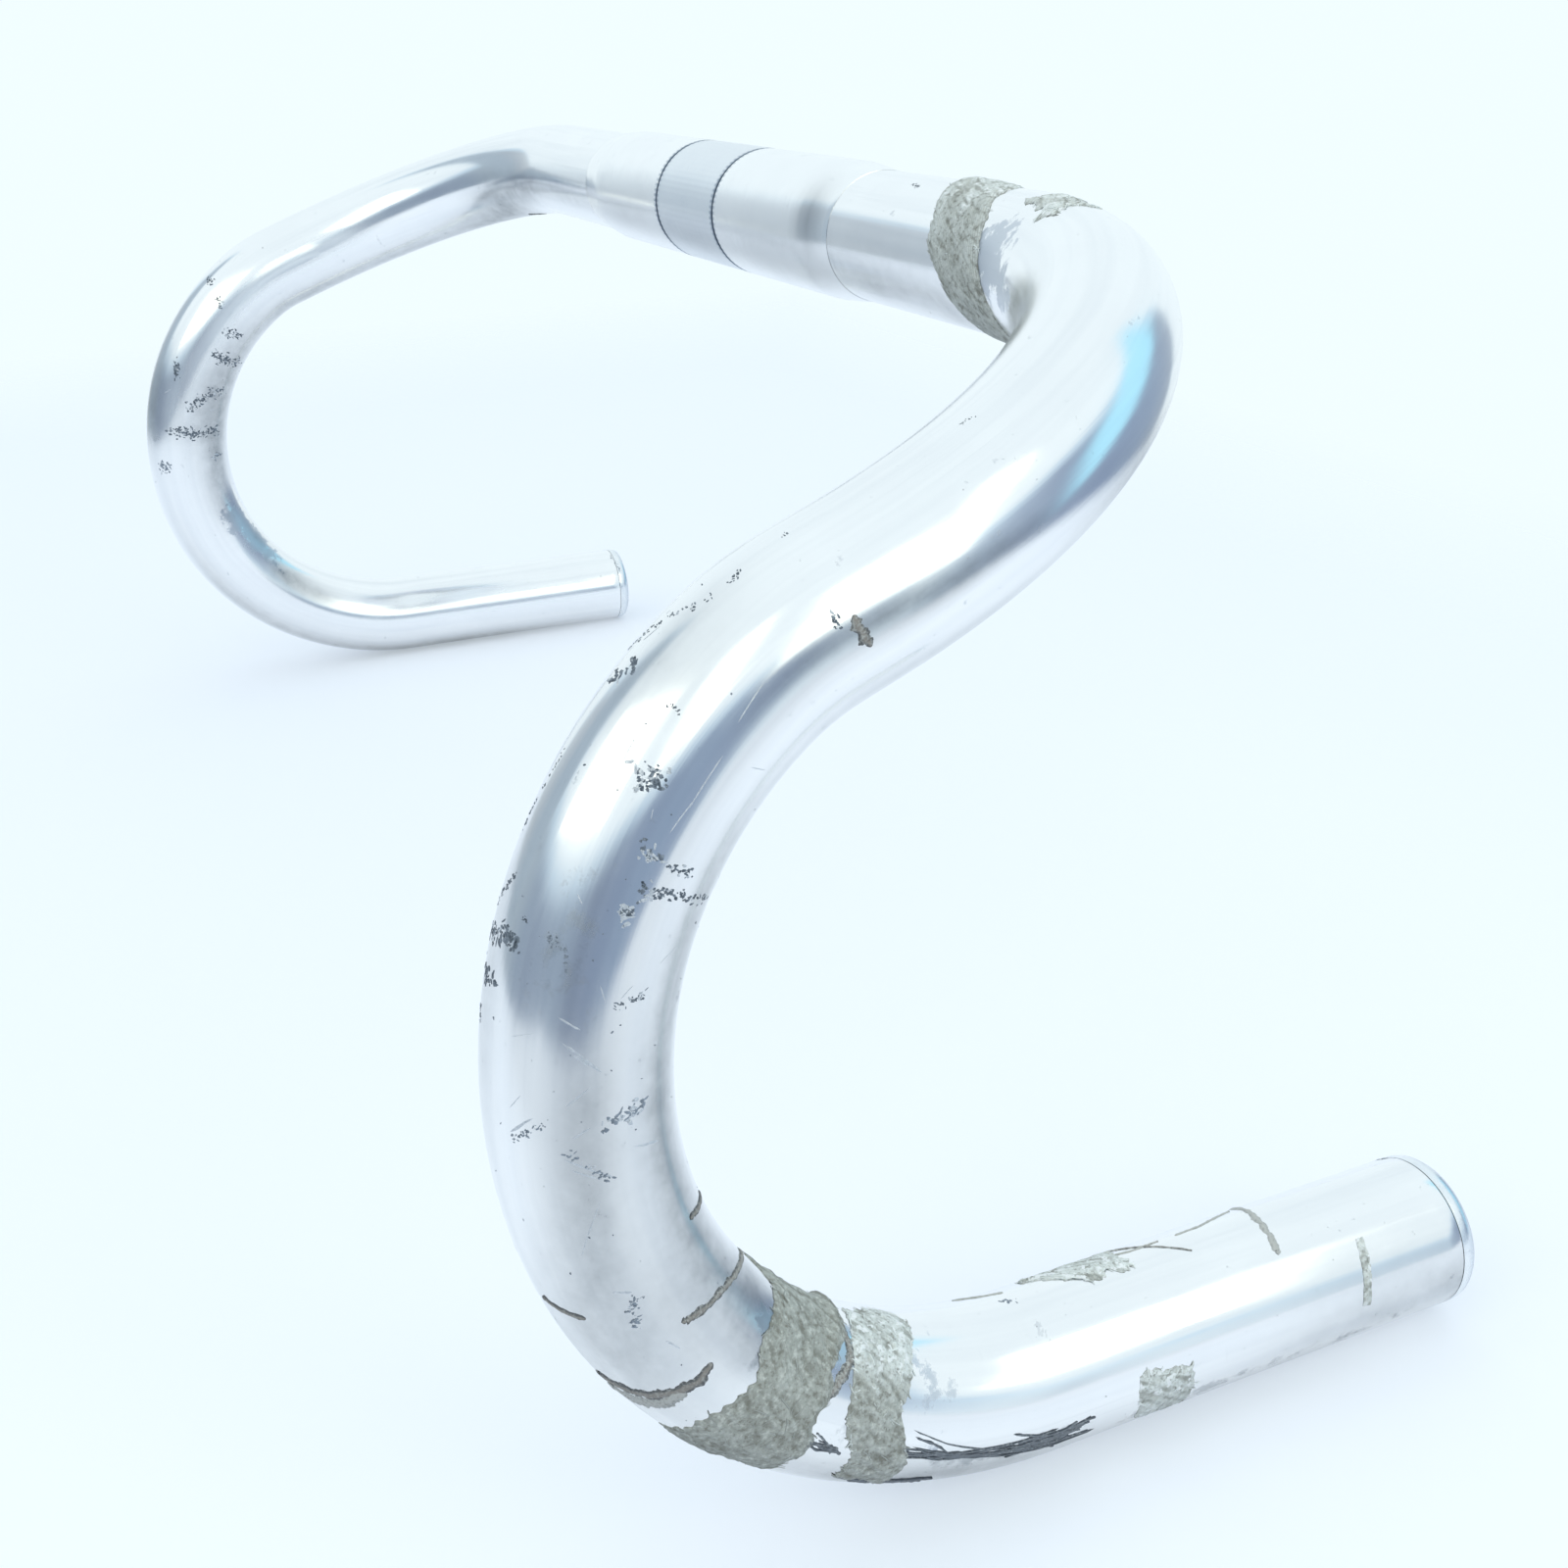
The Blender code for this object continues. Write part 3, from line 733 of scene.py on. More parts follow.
# glue left where tape has gone, chips and scuffs: places along (mm) and round (degrees), width in mm,
# and how pale each run of glue is
markSet = {
    "seed": 11,
    "glue": [
        ([(352.9, 201), (349.0, 236), (346.9, 258), (345.9, 276), (344.9, 290)], 1.15, 0.4),
        ([(353.6, 316), (354.2, 338), (353.2, 356), (351.2, 372)], 2.2, 0.9),
        ([(352.9, 292), (353.6, 306), (353.0, 324), (352.0, 342), (350.6, 356), (348.9, 372)], 1.7, 0.25),
        ([(339.0, 340), (338.0, 356), (337.0, 371)], 0.8, 0.2),
        ([(336.0, 214), (335.2, 230), (334.0, 250)], 1.2, 0.2),
        ([(456.8, 166), (456.4, 190), (455.8, 210), (454.8, 239)], 1.2, 1.0),
        ([(431.8, 171), (437.0, 190), (442.8, 214)], 0.4, 0.6),
        ([(374.9, 200), (375.0, 225), (376.2, 246), (374.6, 262), (372.2, 278), (370.6, 288)], 1.7, 0.5),
        ([(245.8, 306), (245.9, 297), (245.4, 284)], 1.7, 0.4),
        ([(404.0, 177), (409.0, 184), (412.9, 188)], 0.4, 0.9),
        ([(417.0, 182), (424.0, 178)], 0.3, 0.9),
        ([(430.0, 186), (434.8, 191), (440.0, 190)], 0.35, 1.0),
        ([(443.0, 190), (448.0, 188), (455.0, 177)], 0.5, 1.0),
        ([(-146.5, 177), (-149.5, 172), (-153.5, 167)], 1.6, 0.3),
    ],
    "threads": [
        ([(383.0, 300), (391.0, 303), (396.0, 308), (404.0, 311), (411.0, 312), (419.5, 309)], 1.9),
        ([(404.0, 312), (411.0, 311), (419.0, 308)], 2.8),
        ([(371.5, 302), (375.0, 305), (379.0, 309)], 1.6),
        ([(381.0, 333), (387.0, 338), (396.0, 336)], 1.2),
    ],
    "scores": [
        ([(301.2, 326), (302.2, 313)], 0.20),
        ([(304.0, 322), (305.4, 310), (307.4, 298)], 0.30),
        ([(305.2, 316), (306.4, 306)], 0.25),
        ([(311.4, 319), (309.0, 305)], 0.16),
        ([(315.3, 355), (313.0, 338)], 0.30),
        ([(315.2, 316), (314.0, 305)], 0.22),
        ([(318.0, 280), (319.2, 260)], 0.28),
        ([(258.5, 307), (263.5, 303)], 0.15),
        ([(267.4, 298), (274.4, 297)], 0.16),
        ([(273.0, 297), (278.0, 300)], 0.14),
        ([(317.6, 322), (319.1, 309), (321.3, 293)], 0.25),
        ([(319.0, 318), (320.6, 304)], 0.20),
        ([(323.6, 305), (330.4, 325)], 0.13),
        ([(336.0, 316), (337.0, 305)], 0.28),
        ([(345.6, 304), (348.0, 300)], 0.28),
    ],
    # the last number is the share of flecks that are torn bright
    "chips": [
        ([(296.3, 44), (295.3, 15), (295.3, 0)], 1.4, 0.1),
        ([(300.2, 36), (300.2, 14)], 1.1, 0.1),
        ([(293.3, 42), (289.3, 22)], 0.7, 0.1),
        ([(285.0, 40), (281.0, 34), (276.0, 32)], 0.5, 0.1),
        ([(304.0, 36), (306.0, 34)], 0.7, 0.1),
        ([(292.3, 1), (292.6, -1)], 0.5, 0.0),
        ([(293.3, 346), (293.8, 332), (296.0, 326)], 0.7, 0.0),
        ([(280.4, 309), (281.4, 301)], 1.2, 0.6),
        ([(284.3, 301), (285.3, 297)], 1.2, 0.6),
        ([(287.3, 306), (289.3, 303)], 1.2, 0.6),
        ([(284.8, 292), (284.5, 276), (284.3, 244)], 1.0, 0.2),
        ([(281.4, 291), (281.4, 274)], 0.9, 0.3),
        ([(299.2, 297), (297.3, 276)], 0.7, 0.2),
        ([(314.2, 294), (312.2, 270)], 1.4, 0.4),
        ([(316.1, 354), (313.2, 330)], 0.6, 0.2),
        ([(317.1, 318), (321.1, 297)], 0.7, 0.2),
        ([(274.4, 334), (273.6, 317)], 1.8, 0.3),
        ([(267.4, 28), (265.5, 18)], 1.4, 0.1),
        ([(264.5, 45), (260.0, 25), (255.6, 6)], 0.6, 0.3),
        ([(266.5, 339), (266.5, 331)], 0.5, 0.0),
        ([(247.8, 313), (247.8, 305)], 0.8, 0.3),
        ([(95.0, 20), (97.0, 23), (99.0, 25)], 0.6, 0.0),
        ([(219.8, 9), (217.8, 6)], 0.4, 0.0),
        ([(253.6, 6), (251.7, 9)], 0.5, 0.0),
        ([(246.8, 12), (245.8, 13)], 0.4, 0.0),
        ([(338.0, 309), (340.0, 310), (342.0, 313)], 0.9, 0.1),
        ([(338.4, 300), (338.2, 309)], 0.3, 0.0),
        ([(485.8, 166), (485.8, 176)], 0.5, 0.0),
        ([(411.5, 199), (412.3, 206)], 0.9, 0.1),
        ([(-264.5, 55), (-264.5, 42)], 1.4, 0.1),
        ([(-268.0, 93), (-266.0, 80)], 1.0, 0.2),
        ([(-273.0, 118), (-271.0, 138)], 1.5, 0.1),
        ([(-280.0, 120), (-281.0, 135), (-279.6, 165)], 2.2, 0.05),
        ([(-299.0, 110), (-294.0, 126), (-291.0, 150)], 2.0, 0.2),
        ([(-306.0, 86), (-306.4, 117), (-305.0, 156)], 2.2, 0.05),
        ([(-316.1, 66), (-317.1, 80)], 2.0, 0.05),
        ([(-315.0, 150), (-314.0, 160)], 1.4, 0.1),
        ([(-487.8, 155), (-486.5, 172), (-485.8, 188)], 0.7, 0.2),
        ([(-291.0, 81), (-287.0, 72)], 1.6, 0.1),
    ],
    "hairScratches": 26,
    "pits": 170,
}


def makeGlue():
    strips = []
    for path, width, tone in markSet["glue"]:
        strips.append((path, width, 0.00016, 20 + len(strips), 0.6, tone))
    return makeStrips("glueMarks", strips, 90, 6, 0.00008)


def makeThreads():
    rng = np.random.default_rng(markSet["seed"])
    strips = []
    for i, (path, width) in enumerate(markSet["threads"]):
        for strand in range(int(width * 12)):
            first, last = sorted(rng.uniform(0, len(path) - 1, 2))
            last = min(len(path) - 1, max(last, first + 0.4))
            shift = rng.normal(0, width * 0.24)
            lean = rng.normal(0, width * 0.5)
            moved = []
            for step in np.linspace(first, last, 5):
                along, degrees = partWay(path, step)
                sway = shift + lean * (step - (first + last) / 2)
                sway += 0.6 * ripple(along * mm, strand, i, 0.0018)
                moved.append((along, degrees + sway / perDegree))
            strips.append((moved, rng.uniform(0.18, 0.5), 0.0002, 60 + i * 40 + strand, 1.0, rng.random()))
    return makeStrips("glueThreads", strips, 24, 4, 0.00008)


# each scrape is a cluster of torn flecks, dark ones and bright ones, most of them along the turn of
# the clamp
def makeScrapes():
    rng = np.random.default_rng(markSet["seed"] + 1)
    dark, bright = [], []
    for path, width, share in markSet["chips"]:
        size = sum(hypot(b[0] - a[0], (b[1] - a[1]) * perDegree) for a, b in zip(path, path[1:]))
        for fleck in range(int(8 + size * (1 + 4 * width))):
            along, degrees = partWay(path, rng.uniform(0, len(path) - 1))
            along += rng.normal(0, width * 0.40)
            degrees += rng.normal(0, width * 2.2)
            line = stroke(along, degrees, rng.uniform(0.25, 1.0) * min(1.3, width), rng.normal(0, 0.7))
            kind = bright if rng.random() < share else dark
            wide = rng.uniform(0.15, 0.55) * min(1.2, width)
            rubbed = abs(along) > 309 or 290 < along < 298 and degrees > 300
            soft = 0.4 * rng.random() + (0.6 if rubbed else 0)
            kind.append((line, wide, 0.00002, 700 + len(dark) + len(bright), 1.0, soft))
    for pit in range(markSet["pits"]):
        along = rng.normal(297, 26) * rng.choice((1, 1, -1))
        line = stroke(along, rng.uniform(0, 360), rng.uniform(0.15, 0.5), rng.normal(0, 0.9))
        dark.append((line, rng.uniform(0.1, 0.28), 0.000015, 2000 + pit, 0.6, rng.random()))
    for i, (path, width) in enumerate(markSet["scores"]):
        bright.append((path, width, 0.00002, 500 + i, 0.8, 0.5))
    for scratch in range(markSet["hairScratches"]):
        along = rng.uniform(255, 345) * rng.choice((1, 1, 1, -1))
        line = stroke(along, rng.uniform(0, 360), rng.uniform(1.0, 4.0), rng.uniform(0, pi))
        bright.append((line, rng.uniform(0.06, 0.13), 0.000015, 560 + scratch, 0.5, rng.random()))
    return makeStrips("metalChips", dark, 4, 4, 0.00005), makeStrips("metalScores", bright, 6, 3, 0.00005)


glueMarks, glueThreads = makeGlue(), makeThreads()
metalChips, metalScores = makeScrapes()
print("threads, glue and chips modelled")


# shading helpers

def newMaterial(name):
    material = bpy.data.materials.new(name)
    material.use_nodes = True
    return material, material.node_tree, material.node_tree.nodes["Principled BSDF"]


def addNode(tree, kind, **settings):
    made = tree.nodes.new(kind)
    for key, value in settings.items():
        setattr(made, key, value)
    return made


def feed(tree, socket, value):
    if isinstance(value, bpy.types.NodeSocket):
        tree.links.new(value, socket)
    else:
        socket.default_value = value


def attributeOf(tree, name, output="Vector"):
    return addNode(tree, "ShaderNodeAttribute", attribute_name=name).outputs[output]


def stretched(tree, vector, scale):
    mapping = addNode(tree, "ShaderNodeMapping")
    feed(tree, mapping.inputs["Vector"], vector)
    mapping.inputs["Scale"].default_value = scale
    return mapping.outputs["Vector"]


def noiseOf(tree, vector, scale, detail=3.0, roughness=0.55):
    texture = addNode(tree, "ShaderNodeTexNoise")
    feed(tree, texture.inputs["Vector"], vector)
    texture.inputs["Scale"].default_value = scale
    texture.inputs["Detail"].default_value = detail
    texture.inputs["Roughness"].default_value = roughness
    return texture.outputs["Fac"]


def ranged(tree, value, fromLow, fromHigh, toLow, toHigh):
    spread = addNode(tree, "ShaderNodeMapRange", clamp=True)
    for socket, entry in zip(spread.inputs, (value, fromLow, fromHigh, toLow, toHigh)):
        feed(tree, socket, entry)
    return spread.outputs["Result"]


def computed(tree, operation, first, second=0.0):
    maths = addNode(tree, "ShaderNodeMath", operation=operation)
    feed(tree, maths.inputs[0], first)
    feed(tree, maths.inputs[1], second)
    return maths.outputs["Value"]


def mixed(tree, factor, first, second):
    mix = addNode(tree, "ShaderNodeMix", data_type="RGBA")
    feed(tree, mix.inputs[0], factor)
    feed(tree, mix.inputs[6], first)
    feed(tree, mix.inputs[7], second)
    return mix.outputs[2]


def bumped(tree, shader, height, strength, distance):
    bump = addNode(tree, "ShaderNodeBump")
    feed(tree, bump.inputs["Height"], height)
    bump.inputs["Strength"].default_value = strength
    bump.inputs["Distance"].default_value = distance
    tree.links.new(bump.outputs["Normal"], shader.inputs["Normal"])


def objectCoords(tree):
    return addNode(tree, "ShaderNodeTexCoord").outputs["Object"]


brightMetal, brightestMetal = (0.92, 0.925, 0.935, 1), (0.955, 0.96, 0.965, 1)
paintedShadeMetal = (0.03, 0.05, 0.07, 1)


# polished aluminium of the tube, with drawn lines, handling scratches, films of old glue, and painted shade,
# painted reflections and painted highlights
def tubeFinish():
    material, tree, shader = newMaterial("polishedAluminium")
    follow = attributeOf(tree, "barCoords")
    filmsAndPaintedLight = addNode(tree, "ShaderNodeSeparateColor")
    tree.links.new(attributeOf(tree, "filmsAndPaintedLight", "Color"), filmsAndPaintedLight.inputs["Color"])
    paintedHighlight = attributeOf(tree, "filmsAndPaintedLight", "Alpha")
    drawn = noiseOf(tree, stretched(tree, follow, (1100, 1100, 14)), 1.0, 2.0)
    broadLines = noiseOf(tree, stretched(tree, follow, (260, 260, 9)), 1.0, 3.0)
    around = noiseOf(tree, stretched(tree, follow, (55, 55, 1300)), 1.0, 3.0, 0.7)
    cloudy = noiseOf(tree, follow, 70.0, 4.0)
    patchy = noiseOf(tree, follow, 260.0, 5.0, 0.65)
    pitted = noiseOf(tree, follow, 1500.0, 2.0, 0.6)
    hazeEdge = computed(tree, "ADD", filmsAndPaintedLight.outputs["Red"], ranged(tree, patchy, 0.3, 0.7, -0.5, 0.5))
    haze = ranged(tree, hazeEdge, 0.45, 0.62, 0.0, 0.9)
    grimeEdge = computed(tree, "ADD", filmsAndPaintedLight.outputs["Green"], ranged(tree, patchy, 0.3, 0.7, -0.5, 0.5))
    grime = ranged(tree, grimeEdge, 0.40, 0.75, 0.0, 0.55)
    pits = ranged(tree, pitted, 0.74, 0.80, 0.0, 0.8)
    base = mixed(tree, ranged(tree, cloudy, 0.3, 0.7, 0.0, 1.0), brightMetal, brightestMetal)
    base = mixed(tree, ranged(tree, drawn, 0.64, 0.82, 0.0, 0.16), base, (0.55, 0.58, 0.63, 1))
    base = mixed(tree, ranged(tree, around, 0.70, 0.80, 0.0, 0.25), base, (0.45, 0.49, 0.55, 1))
    base = mixed(tree, ranged(tree, broadLines, 0.42, 0.68, 0.0, 0.5), base, (0.80, 0.82, 0.85, 1))
    base = mixed(tree, haze, base, (0.58, 0.62, 0.68, 1))
    base = mixed(tree, grime, base, (0.36, 0.39, 0.42, 1))
    base = mixed(tree, pits, base, (0.22, 0.25, 0.28, 1))
    # painted shade and painted reflections: the dull film takes the metal's colour towards near black
    dull = computed(tree, "MULTIPLY", filmsAndPaintedLight.outputs["Blue"], ranged(tree, patchy, 0.3, 0.7, 0.8, 1.2))
    base = mixed(tree, dull, base, paintedShadeMetal)
    # painted highlights: near white and less metallic
    base = mixed(tree, paintedHighlight, base, (0.93, 0.97, 1.0, 1))
    tree.links.new(base, shader.inputs["Base Color"])
    uneven = computed(tree, "ADD", cloudy, computed(tree, "MULTIPLY", drawn, 0.5))
    rough = ranged(tree, uneven, 0.5, 1.0, 0.11, 0.20)
    for film, added in ((haze, 0.22), (grime, 0.25), (dull, 0.15)):
        rough = computed(tree, "ADD", rough, computed(tree, "MULTIPLY", film, added))
    tree.links.new(rough, shader.inputs["Roughness"])
    tree.links.new(ranged(tree, paintedHighlight, 0.0, 1.0, 1.0, 0.1), shader.inputs["Metallic"])
    bumped(tree, shader, computed(tree, "ADD", drawn, computed(tree, "MULTIPLY", pits, -1.5)), 0.04, 0.0003)
    return material


# duller, turned aluminium of the sleeve; its grooves hold old dirt
def sleeveFinish():
    material, tree, shader = newMaterial("sleeveAluminium")
    place = objectCoords(tree)
    turned = noiseOf(tree, stretched(tree, place, (2600, 30, 30)), 1.0, 2.0)
    cloudy = noiseOf(tree, place, 90.0, 4.0)
    stain = noiseOf(tree, stretched(tree, place, (140, 260, 260)), 1.0, 5.0, 0.65)
    base = mixed(tree, ranged(tree, cloudy, 0.3, 0.7, 0.0, 1.0), brightMetal, brightestMetal)
    base = mixed(tree, ranged(tree, stain, 0.64, 0.78, 0.0, 0.35), base, (0.52, 0.56, 0.62, 1))
    axes = addNode(tree, "ShaderNodeSeparateXYZ")
    tree.links.new(place, axes.inputs["Vector"])
    fromMiddle = computed(tree, "ABSOLUTE", axes.outputs["X"])
    fromGroove = computed(tree, "ABSOLUTE", computed(tree, "SUBTRACT", fromMiddle, 0.01765))
    dirtEdge = computed(tree, "ADD", fromGroove, ranged(tree, stain, 0.3, 0.7, -0.0002, 0.0002))
    dirt = ranged(tree, dirtEdge, 0.0005, 0.0008, 0.9, 0.0)
    band = ranged(tree, fromMiddle, 0.0171, 0.0173, 1.0, 0.0)
    base = mixed(tree, computed(tree, "MULTIPLY", band, 0.7), base, (0.74, 0.78, 0.83, 1))
    turn = computed(tree, "ARCTAN2", axes.outputs["Z"], axes.outputs["Y"])
    teeth = ranged(tree, computed(tree, "SINE", computed(tree, "MULTIPLY", turn, 72.0)), -0.5, 0.5, 0.15, 0.75)
    serrated = ranged(tree, fromGroove, 0.0009, 0.0019, 1.0, 0.0)
    base = mixed(tree, computed(tree, "MULTIPLY", teeth, serrated), base, (0.34, 0.40, 0.48, 1))
    base = mixed(tree, dirt, base, (0.24, 0.29, 0.36, 1))
    # painted shade and painted reflections from the dull film
    filmsAndPaintedLight = addNode(tree, "ShaderNodeSeparateColor")
    tree.links.new(attributeOf(tree, "filmsAndPaintedLight", "Color"), filmsAndPaintedLight.inputs["Color"])
    base = mixed(tree, filmsAndPaintedLight.outputs["Blue"], base, paintedShadeMetal)
    tree.links.new(base, shader.inputs["Base Color"])
    rough = ranged(tree, computed(tree, "ADD", turned, stain), 0.6, 1.4, 0.15, 0.28)
    rough = computed(tree, "ADD", rough, computed(tree, "MULTIPLY", band, 0.12))
    rough = computed(tree, "ADD", rough, computed(tree, "MULTIPLY", dirt, 0.3))
    tree.links.new(rough, shader.inputs["Roughness"])
    shader.inputs["Metallic"].default_value = 1.0
    bumped(tree, shader, turned, 0.04, 0.0003)
    return material


# silvered plastic of the end plugs
def plugFinish():
    material, tree, shader = newMaterial("plugSilver")
    place = objectCoords(tree)
    cloudy = noiseOf(tree, place, 220.0, 4.0)
    worn = noiseOf(tree, place, 900.0, 3.0, 0.7)
    base = mixed(tree, ranged(tree, cloudy, 0.3, 0.7, 0.0, 1.0),
                 (0.80, 0.84, 0.88, 1), (0.89, 0.91, 0.93, 1))
    base = mixed(tree, ranged(tree, worn, 0.64, 0.78, 0.0, 0.6), base, (0.50, 0.55, 0.62, 1))
    axes = addNode(tree, "ShaderNodeSeparateXYZ")
    tree.links.new(place, axes.inputs["Vector"])
    # painted shade: the plug's lip darkens towards the head's rim
    paintedLipShade = ranged(tree, axes.outputs["Y"], 0.0282, 0.0297, 0.0, 0.5)
    base = mixed(tree, paintedLipShade, base, (0.36, 0.43, 0.54, 1))
    tree.links.new(base, shader.inputs["Base Color"])
    rough = ranged(tree, computed(tree, "ADD", cloudy, worn), 0.7, 1.4, 0.16, 0.34)
    tree.links.new(rough, shader.inputs["Roughness"])
    shader.inputs["Metallic"].default_value = 0.9
    bumped(tree, shader, worn, 0.05, 0.0004)
    return material


# faded, matted cotton: paler on the threads' crowns, darker at the edges and where dirt has stayed, with a
# painted shadow along the rolled edge and painted glints on beads of glue
def tapeFinish():
    material, tree, shader = newMaterial("clothTape")
    weave = attributeOf(tree, "weave")
    parts = addNode(tree, "ShaderNodeSeparateXYZ")
    tree.links.new(weave, parts.inputs["Vector"])
    worn = addNode(tree, "ShaderNodeSeparateColor")
    wornAt = addNode(tree, "ShaderNodeAttribute", attribute_name="worn")
    tree.links.new(wornAt.outputs["Color"], worn.inputs["Color"])
    paleness = wornAt.outputs["Alpha"]
    place = objectCoords(tree)
    broad = noiseOf(tree, place, 150.0, 4.0, 0.6)
    fibre = noiseOf(tree, stretched(tree, weave, (900, 4200, 0)), 1.0, 4.0, 0.7)
    fine = noiseOf(tree, place, 2600.0, 3.0, 0.7)
    beads = noiseOf(tree, place, 900.0, 2.0)
    flecks = noiseOf(tree, place, 1000.0, 4.0, 0.65)
    base = mixed(tree, ranged(tree, broad, 0.32, 0.68, 0.0, 1.0),
                 (0.325, 0.335, 0.305, 1), (0.475, 0.495, 0.46, 1))
    base = mixed(tree, ranged(tree, fibre, 0.42, 0.72, 0.0, 0.5), base, (0.57, 0.60, 0.58, 1))
    base = mixed(tree, paleness, base, (0.80, 0.84, 0.83, 1))
    # darker where the fibres are matted, and a painted shadow along the rolled edge
    matted = ranged(tree, worn.outputs["Green"], 0.48, 0.24, 0.0, 0.6)
    base = mixed(tree, matted, base, (0.19, 0.19, 0.16, 1))
    base = mixed(tree, ranged(tree, flecks, 0.53, 0.64, 0.0, 0.75), base, (0.66, 0.68, 0.64, 1))
    base = mixed(tree, ranged(tree, flecks, 0.46, 0.35, 0.0, 0.72), base, (0.20, 0.195, 0.165, 1))
    base = mixed(tree, ranged(tree, parts.outputs["Z"], 0.1, -0.8, 0.0, 0.4), base, (0.20, 0.20, 0.17, 1))
    edge = computed(tree, "MULTIPLY", worn.outputs["Red"], ranged(tree, fine, 0.45, 0.65, 0.0, 0.25))
    base = mixed(tree, edge, base, (0.22, 0.205, 0.165, 1))
    base = mixed(tree, ranged(tree, fine, 0.52, 0.72, 0.0, 0.55), base, (0.18, 0.165, 0.135, 1))
    # beads of clear glue where the cloth is palest: smoother, and painted near white as painted glints
    palest = ranged(tree, paleness, 0.55, 0.9, 0.0, 1.0)
    glueBeadGlint = computed(tree, "MULTIPLY", palest, ranged(tree, beads, 0.56, 0.62, 0.0, 1.0))
    base = mixed(tree, glueBeadGlint, base, (0.90, 0.92, 0.93, 1))
    tree.links.new(base, shader.inputs["Base Color"])
    dull = ranged(tree, fine, 0.3, 0.7, 0.95, 0.70)
    rough = computed(tree, "SUBTRACT", dull, computed(tree, "MULTIPLY", glueBeadGlint, 0.55))
    tree.links.new(rough, shader.inputs["Roughness"])
    shader.inputs["Specular IOR Level"].default_value = 0.3
    bumped(tree, shader, computed(tree, "ADD", fibre, fine), 0.5, 0.00025)
    return material


# dried glue and loose threads: one shade at the rim and another at the heart, in patches
def glueFinish(name, rim, heart, dust, share, toned):
    material, tree, shader = newMaterial(name)
    place = objectCoords(tree)
    parts = addNode(tree, "ShaderNodeSeparateXYZ")
    tree.links.new(attributeOf(tree, "rim"), parts.inputs["Vector"])
    broad = noiseOf(tree, place, 420.0, 4.0, 0.6)
    fine = noiseOf(tree, place, 2400.0, 3.0, 0.7)
    core = computed(tree, "ADD", ranged(tree, parts.outputs["X"], 0.75, 0.25, -0.3, 0.4), broad)
    base = mixed(tree, ranged(tree, core, 0.3, 0.8, 0.0, 1.0), rim, heart)
    dusty = computed(tree, "ADD", computed(tree, "MULTIPLY", parts.outputs["Y"], toned), fine)
    base = mixed(tree, ranged(tree, dusty, 0.62, 0.86, 0.0, share), base, dust)
    tree.links.new(base, shader.inputs["Base Color"])
    tree.links.new(ranged(tree, fine, 0.3, 0.7, 0.75, 0.45), shader.inputs["Roughness"])
    bumped(tree, shader, fine, 0.4, 0.0003)
    return material


# bare metal torn dull where a lever clamp scraped the polish away
def chipFinish(name, dark, pale, soft, metal):
    material, tree, shader = newMaterial(name)
    place = objectCoords(tree)
    fine = noiseOf(tree, place, 1900.0, 4.0, 0.7)
    parts = addNode(tree, "ShaderNodeSeparateXYZ")
    tree.links.new(attributeOf(tree, "rim"), parts.inputs["Vector"])
    base = mixed(tree, ranged(tree, fine, 0.42, 0.70, 0.0, 1.0), dark, pale)
    base = mixed(tree, computed(tree, "MULTIPLY", parts.outputs["Y"], 0.7), base, soft)
    tree.links.new(base, shader.inputs["Base Color"])
    tree.links.new(ranged(tree, fine, 0.3, 0.7, 0.65, 0.38), shader.inputs["Roughness"])
    shader.inputs["Metallic"].default_value = metal
    bumped(tree, shader, fine, 0.5, 0.0003)
    return material


def wear(piece, material):
    piece.data.materials.clear()
    piece.data.materials.append(material)


wear(barTube, tubeFinish())
wear(clampSleeve, sleeveFinish())
plugSilver = plugFinish()
for plug in endPlugs:
    wear(plug, plugSilver)
clothTape = tapeFinish()
for scrap in tapeScraps.values():
    wear(scrap, clothTape)
wear(glueMarks, glueFinish(
    "driedGlue", (0.10, 0.105, 0.11, 1), (0.27, 0.25, 0.23, 1), (0.56, 0.57, 0.55, 1), 0.8, 0.4))
wear(glueThreads, glueFinish(
    "gluedThreads", (0.05, 0.06, 0.08, 1), (0.18, 0.20, 0.23, 1), (0.46, 0.49, 0.53, 1), 0.6, 0.2))
wear(frayedThreads, glueFinish(
    "looseCotton", (0.25, 0.26, 0.24, 1), (0.44, 0.46, 0.44, 1), (0.80, 0.84, 0.83, 1), 1.0, 0.5))
wear(metalScores, chipFinish(
    "scoredMetal", (0.55, 0.58, 0.62, 1), (0.80, 0.82, 0.84, 1), (0.66, 0.69, 0.73, 1), 1.0))
wear(metalChips, chipFinish(
    "scrapedMetal", (0.05, 0.068, 0.09, 1), (0.26, 0.30, 0.35, 1), (0.38, 0.43, 0.51, 1), 0.4))

settle(barTube, "polished_aluminium", "bar_tube")
settle(clampSleeve, "sleeve_aluminium", "clamp_sleeve")
settle(endPlugs[0], "plug_silver", "end_plug_left")
settle(endPlugs[1], "plug_silver", "end_plug_right")
for piece in (frayedThreads, glueMarks, glueThreads):
    settle(piece, "cloth_tape")
for piece in (metalScores, metalChips):
    settle(piece, "polished_aluminium")


